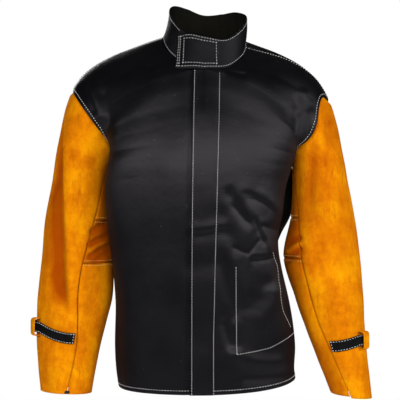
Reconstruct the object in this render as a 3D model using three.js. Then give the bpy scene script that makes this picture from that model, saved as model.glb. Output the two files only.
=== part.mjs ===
// A welder's jacket: black cotton body, stand collar and storm flap, with leather sleeves.
// Millimetres, +Z up. The front faces -Y and the wearer's left is +X.
// The origin is the middle of the neck hole, level with the shoulders that carry the jacket.

import * as THREE from "three";

// Wall thicknesses
const COTTON_WALL = 1.5;
const LEATHER_WALL = 2;
const COLLAR_WALL = 2.6;
const FLAP_WALL = 2;
const STRAP_WALL = 2.2;
const POCKET_WALL = 1.2;

// Clearances: between the edges of two panels, between two layers, and around the sleeve head, which comes
// out to its full width over a short length
const SEAM_GAP = 1;
const LAYER_GAP = 1.2;
const STRAP_GAP = 1.3;
const POCKET_GAP = { edge: 3.2, middle: 7 };
const HEAD_INSET = 9.5;
const HEAD_RISE = 32;

// Body
const RIGHT = -1;
const LEFT = 1;
const HEM = { front: -734, back: -730, right: -727, left: -711 };
const SIDE_SEAM_Y = 10;
const PIT_ROW = 0.65;
const FRONT_NECK_ROW = 0.84;
const BACK_NECK_ROW = 0.86;
const CORNER_REACH = 0.09;
const SHOULDER_ROW = 0.8;
const NECK = { halfWidth: 87.5, front: 82, back: 74, roll: 0.055 };

// Collar: degrees run from the hidden end at centre front, past the wearer's right, to the end of the tab
const COLLAR_END = 399.5;
const COLLAR_LIFT = 1.4;
const COLLAR_BELLY = 1;
const COLLAR_FLARE = 0.75;

// Folds: share of their length over which they fade at each end, and how far a wall must face the front
// before they show
const FOLD_FADE = 0.25;
const FOLD_FACING = { none: 0.05, full: 0.4 };
const NORMAL_STEP = 0.004;

// Sleeves
const SLEEVE_LENGTH = 640;
const BACK_SLEEVE_SEAM = 215;
const SEAM_TURN = 0.5;
const CROSS_SEAMS = { right: [0.4, 0.545], left: [0.405, 0.54] };
const STRAP_WIDTH = 24;
const STRAP_BACK_ANGLE = -130;
const STRAP_RISE = 5.2;
const STRAP_RISE_ANGLE = 24;
const STRAP_LEVEL_ANGLE = 12;
const KEEPER = { height: 34, foot: 2, reach: 12.5, width: 18, wall: 2, corner: 5 };

// Grid steps of the faceted panels
const STEPS = {
  frontAcross: 12, frontRows: 26, backAcross: 8, backRows: 20, collarAround: 48, collarUp: 4,
  flapAcross: 3, flapRows: 22, topSleeveAround: 20, underSleeveAround: 6, sleeveRows: 20,
  strapAround: 22, pocketAcross: 7, pocketRows: 8, foldSamples: 14, halvings: 24,
};

// Half widths of the body at the side seams, and its depth at centre front and centre back
const SIDE = [
  { z: -734, right: 177, left: 196 },
  { z: -690, right: 184, left: 189 },
  { z: -640, right: 188, left: 192 },
  { z: -560, right: 184, left: 180 },
  { z: -480, right: 180, left: 160 },
  { z: -420, right: 180, left: 148 },
  { z: -370, right: 180, left: 160 },
  { z: -318, right: 179, left: 160 },
  { z: -280, right: 178, left: 172 },
  { z: -242, right: 180, left: 186 },
];
const CENTRE = [
  { z: -734, front: 120, back: 135 },
  { z: -600, front: 124, back: 128 },
  { z: -480, front: 129, back: 116 },
  { z: -350, front: 136, back: 119 },
  { z: -250, front: 136, back: 130 },
  { z: -170, front: 122, back: 129 },
  { z: -110, front: 101, back: 119 },
  { z: -66, front: 82, back: 107 },
  { z: -20, front: 82, back: 90 },
  { z: 12, front: 82, back: 74 },
];

// Height of the neck seam by angle from centre front (0) to centre back (180)
const NECKLINE = [
  { angle: 0, height: -66 },
  { angle: 30, height: -58 },
  { angle: 60, height: -33 },
  { angle: 90, height: 0 },
  { angle: 120, height: 8 },
  { angle: 150, height: 11 },
  { angle: 180, height: 12 },
];

// How each row of a half panel leaves the centre or neck (in) and reaches the side or armhole (out)
const FRONT_PULL = [
  { row: 0, inX: 136, inY: 0, inZ: 0, outX: 8, outY: -106, outZ: 0 },
  { row: 0.35, inX: 136, inY: 0, inZ: 0, outX: 14, outY: -106, outZ: 0 },
  { row: 0.58, inX: 130, inY: 0, inZ: 0, outX: 34, outY: -98, outZ: 0 },
  { row: 0.65, inX: 118, inY: -2, inZ: -4, outX: 36, outY: -90, outZ: 4 },
  { row: 0.74, inX: 103, inY: -9, inZ: -10, outX: 12, outY: -62, outZ: 22 },
  { row: 0.84, inX: 84, inY: -34, inZ: -12, outX: -58, outY: -24, outZ: 36 },
  { row: 0.92, inX: 64, inY: -20, inZ: -12, outX: -44, outY: -12, outZ: 46 },
  { row: 1, inX: 62, inY: 0, inZ: -21, outX: -30, outY: 0, outZ: 58 },
];
const BACK_PULL = [
  { row: 0, inX: 112, inY: 0, inZ: 0, outX: 4, outY: 88, outZ: 0 },
  { row: 0.35, inX: 112, inY: 0, inZ: 0, outX: 4, outY: 88, outZ: 0 },
  { row: 0.6, inX: 112, inY: 0, inZ: 0, outX: 16, outY: 80, outZ: 0 },
  { row: 0.65, inX: 112, inY: 0, inZ: -2, outX: 20, outY: 76, outZ: 4 },
  { row: 0.74, inX: 104, inY: 4, inZ: -6, outX: 2, outY: 56, outZ: 22 },
  { row: 0.84, inX: 92, inY: 10, inZ: -10, outX: -58, outY: 20, outZ: 36 },
  { row: 0.92, inX: 70, inY: 14, inZ: -14, outX: -44, outY: 10, outZ: 46 },
  { row: 1, inX: 62, inY: 0, inZ: -21, outX: -30, outY: 0, outZ: 58 },
];

// How much further a half panel swells out past its side seam, and how much further to the front
const NO_SWELL = [
  { row: 0, out: 0, ahead: 0 },
  { row: 1, out: 0, ahead: 0 },
];
const FRONT_RIGHT_SWELL = [
  { row: 0, out: 0, ahead: 8 },
  { row: 0.2, out: 2, ahead: 10 },
  { row: 0.3, out: 20, ahead: 14 },
  { row: 0.39, out: 40, ahead: 20 },
  { row: 0.45, out: 48, ahead: 26 },
  { row: 0.545, out: 50, ahead: 34 },
  { row: 0.61, out: 36, ahead: 36 },
  { row: 0.65, out: 24, ahead: 30 },
  { row: 0.7, out: 18, ahead: 18 },
  { row: 0.75, out: 10, ahead: 8 },
  { row: 0.82, out: 0, ahead: 0 },
  { row: 1, out: 0, ahead: 0 },
];
const BACK_LEFT_SWELL = [
  { row: 0, out: 0, ahead: 0 },
  { row: 0.3, out: 0, ahead: 0 },
  { row: 0.36, out: 6, ahead: -4 },
  { row: 0.41, out: 46, ahead: -18 },
  { row: 0.46, out: 82, ahead: -26 },
  { row: 0.545, out: 94, ahead: -28 },
  { row: 0.6, out: 50, ahead: -30 },
  { row: 0.64, out: 12, ahead: -18 },
  { row: 0.7, out: 0, ahead: 0 },
  { row: 1, out: 0, ahead: 0 },
];

// How far the body laps over the sleeve head, by angle from the armhole's outer edge (0) to the pit (180)
const RIGHT_LAP = [
  { angle: 0, lap: 8 },
  { angle: 110, lap: 8 },
  { angle: 145, lap: 4 },
  { angle: 175, lap: 0 },
  { angle: 180, lap: 0 },
];
const LEFT_LAP = [
  { angle: 0, lap: 18 },
  { angle: 14, lap: 18 },
  { angle: 30, lap: 7 },
  { angle: 46, lap: 1 },
  { angle: 62, lap: 5 },
  { angle: 80, lap: 21 },
  { angle: 98, lap: 30 },
  { angle: 118, lap: 26 },
  { angle: 146, lap: 9 },
  { angle: 175, lap: 0 },
  { angle: 180, lap: 0 },
];

// Sleeve sections from armhole (along 0) to cuff (along 1): where the section's outer and inner edges lie,
// its centre and half depth from front to back, and the angle of the front seam
const RIGHT_SLEEVE = [
  { along: 0, outX: 276, outZ: -97, inX: 180, inZ: -242, midY: 10, depth: 76, seam: 172 },
  { along: 0.06, outX: 295, outZ: -147, inX: 194, inZ: -258, midY: 14, depth: 77, seam: 169 },
  { along: 0.15, outX: 309, outZ: -212, inX: 203, inZ: -284, midY: 17, depth: 76, seam: 161 },
  { along: 0.28, outX: 322, outZ: -297, inX: 204, inZ: -318, midY: 18, depth: 75, seam: 146 },
  { along: 0.41, outX: 339, outZ: -381, inX: 200, inZ: -388, midY: 16, depth: 74, seam: 125 },
  { along: 0.54, outX: 346, outZ: -466, inX: 193, inZ: -468, midY: 10, depth: 72, seam: 104 },
  { along: 0.66, outX: 352, outZ: -540, inX: 195, inZ: -540, midY: 2, depth: 69, seam: 99 },
  { along: 0.75, outX: 353, outZ: -593, inX: 206, inZ: -593, midY: -6, depth: 64, seam: 105 },
  { along: 0.86, outX: 351, outZ: -657, inX: 221, inZ: -657, midY: -14, depth: 56, seam: 108 },
  { along: 1, outX: 344, outZ: -737, inX: 235, inZ: -743, midY: -22, depth: 47, seam: 96 },
];
const LEFT_SLEEVE = [
  { along: 0, outX: 257, outZ: -106, inX: 186, inZ: -242, midY: 10, depth: 74, seam: 175 },
  { along: 0.06, outX: 275, outZ: -149, inX: 188, inZ: -258, midY: 14, depth: 76, seam: 172 },
  { along: 0.15, outX: 289, outZ: -206, inX: 187, inZ: -284, midY: 17, depth: 76, seam: 168 },
  { along: 0.28, outX: 306, outZ: -297, inX: 188, inZ: -316, midY: 18, depth: 76, seam: 162 },
  { along: 0.41, outX: 320, outZ: -374, inX: 184, inZ: -380, midY: 14, depth: 75, seam: 145 },
  { along: 0.54, outX: 332, outZ: -460, inX: 170, inZ: -462, midY: 8, depth: 73, seam: 127 },
  { along: 0.66, outX: 338, outZ: -545, inX: 194, inZ: -545, midY: -2, depth: 69, seam: 127 },
  { along: 0.75, outX: 339, outZ: -600, inX: 212, inZ: -600, midY: -10, depth: 64, seam: 124 },
  { along: 0.86, outX: 343, outZ: -665, inX: 236, inZ: -665, midY: -18, depth: 57, seam: 114 },
  { along: 1, outX: 353, outZ: -752, inX: 267, inZ: -744, midY: -26, depth: 50, seam: 100 },
];

// Collar by degrees along the band: drop below the neck seam, height of the top edge, how far the top
// draws in, how far the band stands out from the neck seam, and how far its foot is pushed to the front
const COLLAR = [
  { turn: 0, drop: 0, top: -9, lean: 0.93, out: 0, forward: 0 },
  { turn: 30, drop: 0, top: 8, lean: 0.92, out: 0, forward: 0 },
  { turn: 60, drop: 0, top: 40, lean: 0.88, out: 0, forward: 0 },
  { turn: 90, drop: 0, top: 63, lean: 0.845, out: 0, forward: 0 },
  { turn: 120, drop: 0, top: 77, lean: 0.84, out: 0, forward: 0 },
  { turn: 150, drop: 0, top: 74, lean: 0.87, out: 0, forward: 0 },
  { turn: 180, drop: 0, top: 62, lean: 0.9, out: 0, forward: 0 },
  { turn: 210, drop: 0, top: 63, lean: 0.9, out: 0, forward: 0 },
  { turn: 240, drop: 0, top: 64, lean: 0.915, out: 0, forward: 0 },
  { turn: 270, drop: 0, top: 50, lean: 1.05, out: -1, forward: 0 },
  { turn: 300, drop: 2, top: 18, lean: 0.98, out: 4.5, forward: 1 },
  { turn: 330, drop: 5.5, top: -6, lean: 0.94, out: 6, forward: 5 },
  { turn: 360, drop: 4.5, top: -1, lean: 0.93, out: 5.5, forward: 7 },
  { turn: 380, drop: 9, top: 6, lean: 0.93, out: 6, forward: 12 },
  { turn: 399.5, drop: 19, top: 2, lean: 0.9, out: 7, forward: 19 },
];

// Side edges of the storm flap by panel row
const FLAP = [
  { row: 0, right: -29, left: 21 },
  { row: 0.14, right: -29, left: 21 },
  { row: 0.42, right: -28, left: 26 },
  { row: 0.7, right: -25, left: 32 },
  { row: 0.837, right: -24, left: 34 },
];

// Pocket bag on the wearer's left front
const POCKET = { innerX: 68, outerU: 0.86, topZ: -452, lowZ: -654, lowOuterZ: -622 };

// Folds seen from the front: a line bending from one point by a second to a third (x, z), its half width,
// and its depth (outwards is positive)
const FRONT_FOLDS = [
  { from: [-246, -91], by: [-220, -122], to: [-206, -187], width: 9, depth: 6 },
  { from: [-221, -97], by: [-202, -133], to: [-198, -215], width: 9, depth: -5 },
  { from: [-108, -130], by: [-118, -400], to: [-131, -660], width: 23, depth: -3.5 },
  { from: [-60, -200], by: [-56, -399], to: [-66, -560], width: 20, depth: 2 },
  { from: [198, -112], by: [200, -165], to: [194, -245], width: 9, depth: -6 },
  { from: [222, -140], by: [211, -184], to: [200, -232], width: 8, depth: 4 },
  { from: [44, -306], by: [66, -366], to: [104, -400], width: 11, depth: -3 },
  { from: [62, -326], by: [112, -322], to: [152, -380], width: 12, depth: -2.5 },
  { from: [98, -386], by: [137, -396], to: [182, -409], width: 9, depth: -4 },
  { from: [27, -430], by: [40, -500], to: [74, -592], width: 12, depth: -3 },
  { from: [44, -405], by: [58, -476], to: [84, -558], width: 11, depth: 2 },
  { from: [80, -575], by: [107, -531], to: [144, -492], width: 10, depth: -2 },
  { from: [102, -600], by: [138, -557], to: [160, -506], width: 10, depth: 2 },
  { from: [44, -630], by: [80, -680], to: [190, -672], width: 12, depth: 3 },
  { from: [58, -698], by: [123, -698], to: [192, -690], width: 12, depth: -3 },
];
const SLEEVE_FOLDS = [
  { from: [-302, -130], by: [-313, -339], to: [-290, -590], width: 13, depth: -12 },
  { from: [-291, -120], by: [-291, -320], to: [-276, -590], width: 10, depth: 6 },
  { from: [-225, -475], by: [-231, -547], to: [-241, -650], width: 12, depth: -5 },
  { from: [-314, -645], by: [-305, -689], to: [-297, -740], width: 13, depth: 3 },
  { from: [252, -118], by: [260, -191], to: [272, -240], width: 10, depth: -5 },
  { from: [226, -185], by: [219, -297], to: [216, -405], width: 9, depth: -4 },
  { from: [244, -205], by: [252, -360], to: [244, -494], width: 18, depth: -3 },
  { from: [193, -505], by: [217, -579], to: [247, -660], width: 10, depth: 4 },
  { from: [262, -480], by: [276, -560], to: [300, -640], width: 15, depth: 4 },
  { from: [290, -300], by: [292, -400], to: [300, -520], width: 16, depth: -3 },
];

// Each side: its sign along x, its sleeve and lap, the angles at which the shoulder seam leaves the neck and
// reaches the armhole (the wearer's left seam sits to the front), and how far the shoulder's end is raised
const SIDES = {
  right: { sign: RIGHT, sleeve: RIGHT_SLEEVE, laps: RIGHT_LAP, shoulder: { neck: 92, armhole: 0, rise: 10 } },
  left: { sign: LEFT, sleeve: LEFT_SLEEVE, laps: LEFT_LAP, shoulder: { neck: 80, armhole: 18, rise: 24 } },
};
const HALVES = {
  front: {
    facing: -1, pulls: FRONT_PULL, neckRow: FRONT_NECK_ROW, neckAngle: 0,
    swells: { right: FRONT_RIGHT_SWELL, left: NO_SWELL },
  },
  back: {
    facing: 1, pulls: BACK_PULL, neckRow: BACK_NECK_ROW, neckAngle: 180,
    swells: { right: NO_SWELL, left: BACK_LEFT_SWELL },
  },
};

// Colours
const BLACK_COTTON = { color: 0x242326, roughness: 0.62, metalness: 0 };
const GOLD_LEATHER = { color: 0xe08a0a, roughness: 0.88, metalness: 0 };
const BLACK_STRAP = { color: 0x1a1a1d, roughness: 0.75, metalness: 0 };

const { clamp, degToRad, lerp, mapLinear, smoothstep } = THREE.MathUtils;
const vector = (x, y, z) => new THREE.Vector3(x, y, z);

// Value of one column of a table at a place between its rows, on a smooth curve through the rows
function column(rows, key, name, place) {
  const last = rows.length - 1;
  let i = 0;
  while (i < last - 1 && place > rows[i + 1][key]) i += 1;
  const slope = (a, b) => (rows[b][name] - rows[a][name]) / (rows[b][key] - rows[a][key]);
  const tangent = (j) => slope(Math.max(j - 1, 0), Math.min(j + 1, last));
  const span = rows[i + 1][key] - rows[i][key];
  const t = clamp((place - rows[i][key]) / span, 0, 1);
  const rise = rows[i + 1][name] - rows[i][name];
  const bend = (1 - t) * (tangent(i) * span - rise) - t * (tangent(i + 1) * span - rise);
  return lerp(rows[i][name], rows[i + 1][name], t) + t * (1 - t) * bend;
}

// Depth of all folds of a table at a point seen from the front
function foldDepth(folds, x, z) {
  let total = 0;
  for (const fold of folds) {
    const line = new THREE.QuadraticBezierCurve(
      new THREE.Vector2(...fold.from), new THREE.Vector2(...fold.by), new THREE.Vector2(...fold.to));
    let nearest = Infinity;
    let place = 0;
    for (let i = 0; i <= STEPS.foldSamples; i += 1) {
      const spot = line.getPoint(i / STEPS.foldSamples);
      const away = Math.hypot(spot.x - x, spot.y - z);
      if (away < nearest) {
        nearest = away;
        place = i / STEPS.foldSamples;
      }
    }
    const fade = smoothstep(place, 0, FOLD_FADE) * smoothstep(1 - place, 0, FOLD_FADE);
    total += fold.depth * fade * Math.exp(-((nearest / fold.width) ** 2) / 2);
  }
  return total;
}

// A surface with its folds pushed in or out along its own normal, where it faces the front
function folded(surface, folds, turned) {
  return (u, v) => {
    const [u0, u1] = [Math.max(u - NORMAL_STEP, 0), Math.min(u + NORMAL_STEP, 1)];
    const [v0, v1] = [Math.max(v - NORMAL_STEP, 0), Math.min(v + NORMAL_STEP, 1)];
    const along = surface(u1, v).sub(surface(u0, v));
    const up = surface(u, v1).sub(surface(u, v0));
    const normal = along.cross(up).normalize().multiplyScalar(turned);
    const point = surface(u, v);
    const facing = smoothstep(-normal.y, FOLD_FACING.none, FOLD_FACING.full);
    return { point: point.addScaledVector(normal, facing * foldDepth(folds, point.x, point.z)), normal };
  };
}

// Mean of an edge a little before and after a row, which wears the corners off the edge
function worn(edge, row) {
  const reach = Math.min(CORNER_REACH, row, 1 - row);
  const spots = [-1, -0.5, 0, 0.5, 1].map((share) => edge(row + share * reach));
  return spots.reduce((sum, spot) => sum.add(spot)).divideScalar(spots.length);
}

function neckPoint(angle) {
  const turn = degToRad(angle);
  const depth = Math.cos(turn) > 0 ? NECK.front : NECK.back;
  const x = NECK.halfWidth * Math.sin(turn);
  const height = column(NECKLINE, "angle", "height", Math.abs(angle));
  return vector(x, -depth * Math.cos(turn), height - NECK.roll * x);
}

// Point of a sleeve section: angle 0 is its outer edge, 90 the front, 180 the inner edge, 270 the back
function sleeveSection(side, along, angle, inset) {
  const { sign, sleeve } = SIDES[side];
  const read = (name) => column(sleeve, "along", name, along);
  const outer = vector(read("outX"), 0, read("outZ"));
  const inner = vector(read("inX"), 0, read("inZ"));
  const half = outer.clone().sub(inner).multiplyScalar(0.5);
  half.setLength(half.length() - inset);
  const turn = degToRad(angle);
  const point = outer.add(inner).multiplyScalar(0.5).addScaledVector(half, Math.cos(turn));
  return vector(sign * point.x, read("midY") - (read("depth") - inset) * Math.sin(turn), point.z);
}

// Share of the sleeve's length that the body laps over its head
function armholeLap(side, angle) {
  return column(SIDES[side].laps, "angle", "lap", angle) / SLEEVE_LENGTH;
}

// Where a row of a half panel starts: up centre front or back, then round the neck seam
function rowStart(half, side, row) {
  const { facing, neckRow, neckAngle } = HALVES[half];
  const { sign, shoulder } = SIDES[side];
  const top = neckPoint(neckAngle).z;
  if (row <= neckRow) {
    const z = lerp(HEM[half], top, row / neckRow);
    return vector(0, facing * column(CENTRE, "z", half, z), z);
  }
  const turned = (row - neckRow) / (1 - neckRow);
  return neckPoint(sign * lerp(neckAngle, shoulder.neck, turned));
}

// Where it ends: up the side seam, then round the armhole, lapping over the sleeve head
function rowEnd(half, side, row) {
  const { sign, sleeve, shoulder } = SIDES[side];
  if (row <= PIT_ROW) {
    const z = lerp(HEM[side], sleeve[0].inZ, row / PIT_ROW);
    return vector(sign * column(SIDE, "z", side, z), SIDE_SEAM_Y, z);
  }
  const turned = (row - PIT_ROW) / (1 - PIT_ROW);
  const angle = lerp(-HALVES[half].facing * 180, shoulder.armhole, turned);
  return sleeveSection(side, armholeLap(side, Math.abs(angle)), angle, 0);
}

function bodySurface(half, side) {
  const { facing, pulls, swells } = HALVES[half];
  const { sign, shoulder } = SIDES[side];
  const pull = (row, end) => vector(
    sign * column(pulls, "row", `${end}X`, row), column(pulls, "row", `${end}Y`, row),
    column(pulls, "row", `${end}Z`, row));
  const swell = (row) => vector(
    sign * column(swells[side], "row", "out", row), -column(swells[side], "row", "ahead", row),
    shoulder.rise * smoothstep(row, SHOULDER_ROW, 1));
  const start = (row) => rowStart(half, side, row);
  const end = (row) => rowEnd(half, side, row);
  const surface = (across, row) => {
    const leave = worn(start, row).add(pull(row, "in"));
    const reach = worn(end, row).add(pull(row, "out")).add(swell(row));
    return new THREE.CubicBezierCurve3(start(row), leave, reach, end(row)).getPoint(across);
  };
  return folded(surface, FRONT_FOLDS, -facing * sign);
}

// A sleeve's outer surface by angle round it (0 to 1 for a whole turn from the back seam) and length along it
function sleeveSurface(side) {
  const { sign } = SIDES[side];
  const surface = (around, along) => {
    const angle = 360 * around;
    const lap = armholeLap(side, 180 - Math.abs(180 - angle));
    const inset = HEAD_INSET * (1 - smoothstep(along, lap, lap + HEAD_RISE / SLEEVE_LENGTH));
    return sleeveSection(side, along, angle, inset);
  };
  const outwards = folded(surface, SLEEVE_FOLDS, sign);
  return (angle, along) => outwards(((angle % 360) + 360) % 360 / 360, along);
}

// A thin closed sheet under one or more grids of points on its outer face, which share their common points
class Sheet {
  constructor() {
    this.points = [];
    this.index = new Map();
    this.faces = [];
  }

  corner(point) {
    const key = point.toArray().map((value) => value.toFixed(3)).join(" ");
    if (!this.index.has(key)) {
      this.index.set(key, this.points.length);
      this.points.push(point);
    }
    return this.index.get(key);
  }

  // Rows of points; `turned` is true where columns then rows run left-handed about the outward normal
  addGrid(rows, turned) {
    for (let j = 0; j + 1 < rows.length; j += 1) {
      for (let i = 0; i + 1 < rows[j].length; i += 1) {
        const ring = [rows[j][i], rows[j][i + 1], rows[j + 1][i + 1], rows[j + 1][i]];
        const corners = ring.map((point) => this.corner(point));
        if (turned) corners.reverse();
        this.faces.push(...this.flatterHalves(corners));
      }
    }
    return this;
  }

  faceNormal([a, b, c]) {
    const [p, q, r] = [this.points[a], this.points[b], this.points[c]];
    return q.clone().sub(p).cross(r.clone().sub(p));
  }

  // Two triangles of a four-cornered cell, cut along the diagonal that bends less
  flatterHalves([a, b, c, d]) {
    const cuts = [[[a, b, c], [a, c, d]], [[b, c, d], [b, d, a]]];
    const [first, second] = cuts.map(([one, two]) => this.faceNormal(one).angleTo(this.faceNormal(two)));
    return first <= second ? cuts[0] : cuts[1];
  }

  normals() {
    const sums = this.points.map(() => vector(0, 0, 0));
    for (const face of this.faces) {
      const normal = this.faceNormal(face);
      for (const corner of face) sums[corner].add(normal);
    }
    return sums.map((sum) => sum.normalize());
  }

  // Edges that belong to one face only, in the direction that face runs
  rim() {
    const edges = new Set();
    for (const [a, b, c] of this.faces) {
      for (const [from, to] of [[a, b], [b, c], [c, a]]) edges.add(`${from} ${to}`);
    }
    return [...edges]
      .map((edge) => edge.split(" ").map(Number))
      .filter(([from, to]) => !edges.has(`${to} ${from}`));
  }

  // The solid between the outer face and the same face moved inwards by the wall
  solid(wall) {
    const count = this.points.length;
    const inwards = this.normals();
    const all = [...this.points, ...this.points.map((p, i) => p.clone().addScaledVector(inwards[i], -wall))];
    const faces = this.faces.flatMap(([a, b, c]) => [[a, b, c], [c + count, b + count, a + count]]);
    for (const [from, to] of this.rim()) {
      faces.push([to, from, from + count], [to, from + count, to + count]);
    }
    const geometry = new THREE.BufferGeometry();
    geometry.setAttribute("position", new THREE.Float32BufferAttribute(all.flatMap((p) => p.toArray()), 3));
    geometry.setIndex(faces.flat());
    geometry.computeVertexNormals();
    return geometry;
  }
}

// Rows of points from a function of (column, row), both stepping evenly between two limits
function grid([fromColumn, toColumn, columns], [fromRow, toRow, rows], pointAt) {
  const line = (row) => Array.from({ length: columns + 1 },
    (_, i) => pointAt(lerp(fromColumn, toColumn, i / columns), row));
  return Array.from({ length: rows + 1 }, (_, j) => line(lerp(fromRow, toRow, j / rows)));
}

// Share of a panel's width or length that leaves half a seam gap at its edge
const HALF_PANEL = { width: 260, upperLength: 400 };
const BODY_EDGE = SEAM_GAP / 2 / HALF_PANEL.width;
const ROW_EDGE = SEAM_GAP / 2 / HALF_PANEL.upperLength;

function frontPanel(side) {
  const outer = bodySurface("front", side);
  const rows = grid([2 * BODY_EDGE, 1 - BODY_EDGE, STEPS.frontAcross], [0, 1 - ROW_EDGE, STEPS.frontRows],
    (across, row) => outer(across, row).point);
  return new Sheet().addGrid(rows, side === "right").solid(COTTON_WALL);
}

function backPanel() {
  const sheet = new Sheet();
  for (const side of ["right", "left"]) {
    const outer = bodySurface("back", side);
    const rows = grid([0, 1 - BODY_EDGE, STEPS.backAcross], [0, 1 - ROW_EDGE, STEPS.backRows],
      (across, row) => outer(across, row).point);
    sheet.addGrid(rows, side === "left");
  }
  return sheet.solid(COTTON_WALL);
}

function collarBand() {
  const pointAt = (turn, up) => {
    const read = (name) => column(COLLAR, "turn", name, turn);
    const angle = turn <= 180 ? -turn : 360 - turn;
    const foot = neckPoint(angle);
    const out = vector(foot.x, foot.y, 0).normalize();
    const lean = lerp(1, read("lean"), Math.sin(Math.PI * up / 2) ** COLLAR_FLARE);
    const stand = read("out") + COLLAR_BELLY * Math.sin(Math.PI * up);
    const z = lerp(foot.z + COLLAR_LIFT - read("drop"), read("top"), up);
    const y = foot.y * lean - lerp(read("forward"), 0, up);
    return vector(foot.x * lean, y, z).addScaledVector(out, stand);
  };
  const rows = grid([0, COLLAR_END, STEPS.collarAround], [0, 1, STEPS.collarUp], pointAt);
  return new Sheet().addGrid(rows, true).solid(COLLAR_WALL);
}

// Place between two limits at which a rising value reaches its target
function placeOf(target, limits, valueAt) {
  let [low, high] = limits;
  for (let i = 0; i < STEPS.halvings; i += 1) {
    const middle = (low + high) / 2;
    if (valueAt(middle) < target) low = middle;
    else high = middle;
  }
  return (low + high) / 2;
}

// Share of a front row at which it reaches a given x, and the row that starts at a given height
const acrossAt = (outer, x, row) =>
  placeOf(Math.abs(x), [0, 0.8], (across) => Math.abs(outer(across, row).point.x));
const rowAt = (z) => placeOf(z, [0, FRONT_NECK_ROW], (row) => rowStart("front", "left", row).z);

function stormFlap() {
  const outer = { right: bodySurface("front", "right"), left: bodySurface("front", "left") };
  const pointAt = (share, row) => {
    const x = lerp(column(FLAP, "row", "right", row), column(FLAP, "row", "left", row), share);
    const half = x < 0 ? outer.right : outer.left;
    const { point, normal } = half(acrossAt(half, x, row), row);
    return point.addScaledVector(normal, LAYER_GAP + FLAP_WALL);
  };
  const top = FLAP[FLAP.length - 1].row;
  const rows = grid([0, 1, STEPS.flapAcross], [0, top, STEPS.flapRows], pointAt);
  return new Sheet().addGrid(rows, false).solid(FLAP_WALL);
}

function pocketBag() {
  const outer = bodySurface("front", "left");
  const pointAt = (share, up) => {
    const row = rowAt(lerp(lerp(POCKET.lowZ, POCKET.lowOuterZ, share), POCKET.topZ, up));
    const across = lerp(acrossAt(outer, POCKET.innerX, row), POCKET.outerU, share);
    const { point, normal } = outer(across, row);
    const gap = lerp(POCKET_GAP.edge, POCKET_GAP.middle, Math.sin(Math.PI * share) * Math.sin(Math.PI * up));
    return point.addScaledVector(normal, -COTTON_WALL - gap);
  };
  const rows = grid([0, 1, STEPS.pocketAcross], [0, 1, STEPS.pocketRows], pointAt);
  return new Sheet().addGrid(rows, false).solid(POCKET_WALL);
}

// A leather panel between two seam angles, given as functions of the length along the sleeve
function sleevePanel(side, fromAngle, toAngle, around, [start, end], rowCount) {
  const outer = sleeveSurface(side);
  const rows = grid([0, 1, around], [start, end, rowCount],
    (share, along) => outer(lerp(fromAngle(along), toAngle(along), share), along).point);
  return new Sheet().addGrid(rows, side === "right").solid(LEATHER_WALL);
}

const ALONG_EDGE = SEAM_GAP / 2 / SLEEVE_LENGTH;

function topSleeve(side) {
  const front = (along) => column(SIDES[side].sleeve, "along", "seam", along) - SEAM_TURN;
  const back = () => BACK_SLEEVE_SEAM - 360 + SEAM_TURN;
  return sleevePanel(side, back, front, STEPS.topSleeveAround, [0, 1], STEPS.sleeveRows);
}

function underSleeve(side, piece) {
  const front = (along) => column(SIDES[side].sleeve, "along", "seam", along) + SEAM_TURN;
  const back = () => BACK_SLEEVE_SEAM - SEAM_TURN;
  const cuts = [0, ...CROSS_SEAMS[side], 1];
  const start = cuts[piece] + (piece > 0 ? ALONG_EDGE : 0);
  const end = cuts[piece + 1] - (piece < 2 ? ALONG_EDGE : 0);
  const rowCount = Math.max(3, Math.round(STEPS.sleeveRows * (end - start)));
  return sleevePanel(side, front, back, STEPS.underSleeveAround, [start, end], rowCount);
}

// The strap's front end, the angle of its keeper, and its place along the sleeve at the front and the keeper
const STRAP = {
  right: { frontAngle: 103, keeperAngle: 26, frontAlong: 0.805, keeperAlong: 0.768 },
  left: { frontAngle: 112, keeperAngle: 42, frontAlong: 0.818, keeperAlong: 0.8 },
};

// A strap round the sleeve that rises where it runs through its keeper
function cuffStrap(side) {
  const outer = sleeveSurface(side);
  const { frontAngle, keeperAngle, frontAlong, keeperAlong } = STRAP[side];
  const pointAt = (angle, across) => {
    const share = mapLinear(angle, keeperAngle + STRAP_LEVEL_ANGLE, frontAngle, 0, 1);
    const bow = Math.sin(Math.PI / 2 * clamp(share, 0, 1));
    const along = lerp(keeperAlong, frontAlong, bow) + across * STRAP_WIDTH / SLEEVE_LENGTH;
    const rise = STRAP_RISE * Math.exp(-(((angle - keeperAngle) / STRAP_RISE_ANGLE) ** 2));
    const { point, normal } = outer(angle, along);
    return point.addScaledVector(normal, STRAP_GAP + STRAP_WALL + rise);
  };
  const rows = grid([STRAP_BACK_ANGLE, frontAngle, STEPS.strapAround], [-0.5, 0.5, 1], pointAt);
  return new Sheet().addGrid(rows, side === "right").solid(STRAP_WALL);
}

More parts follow.
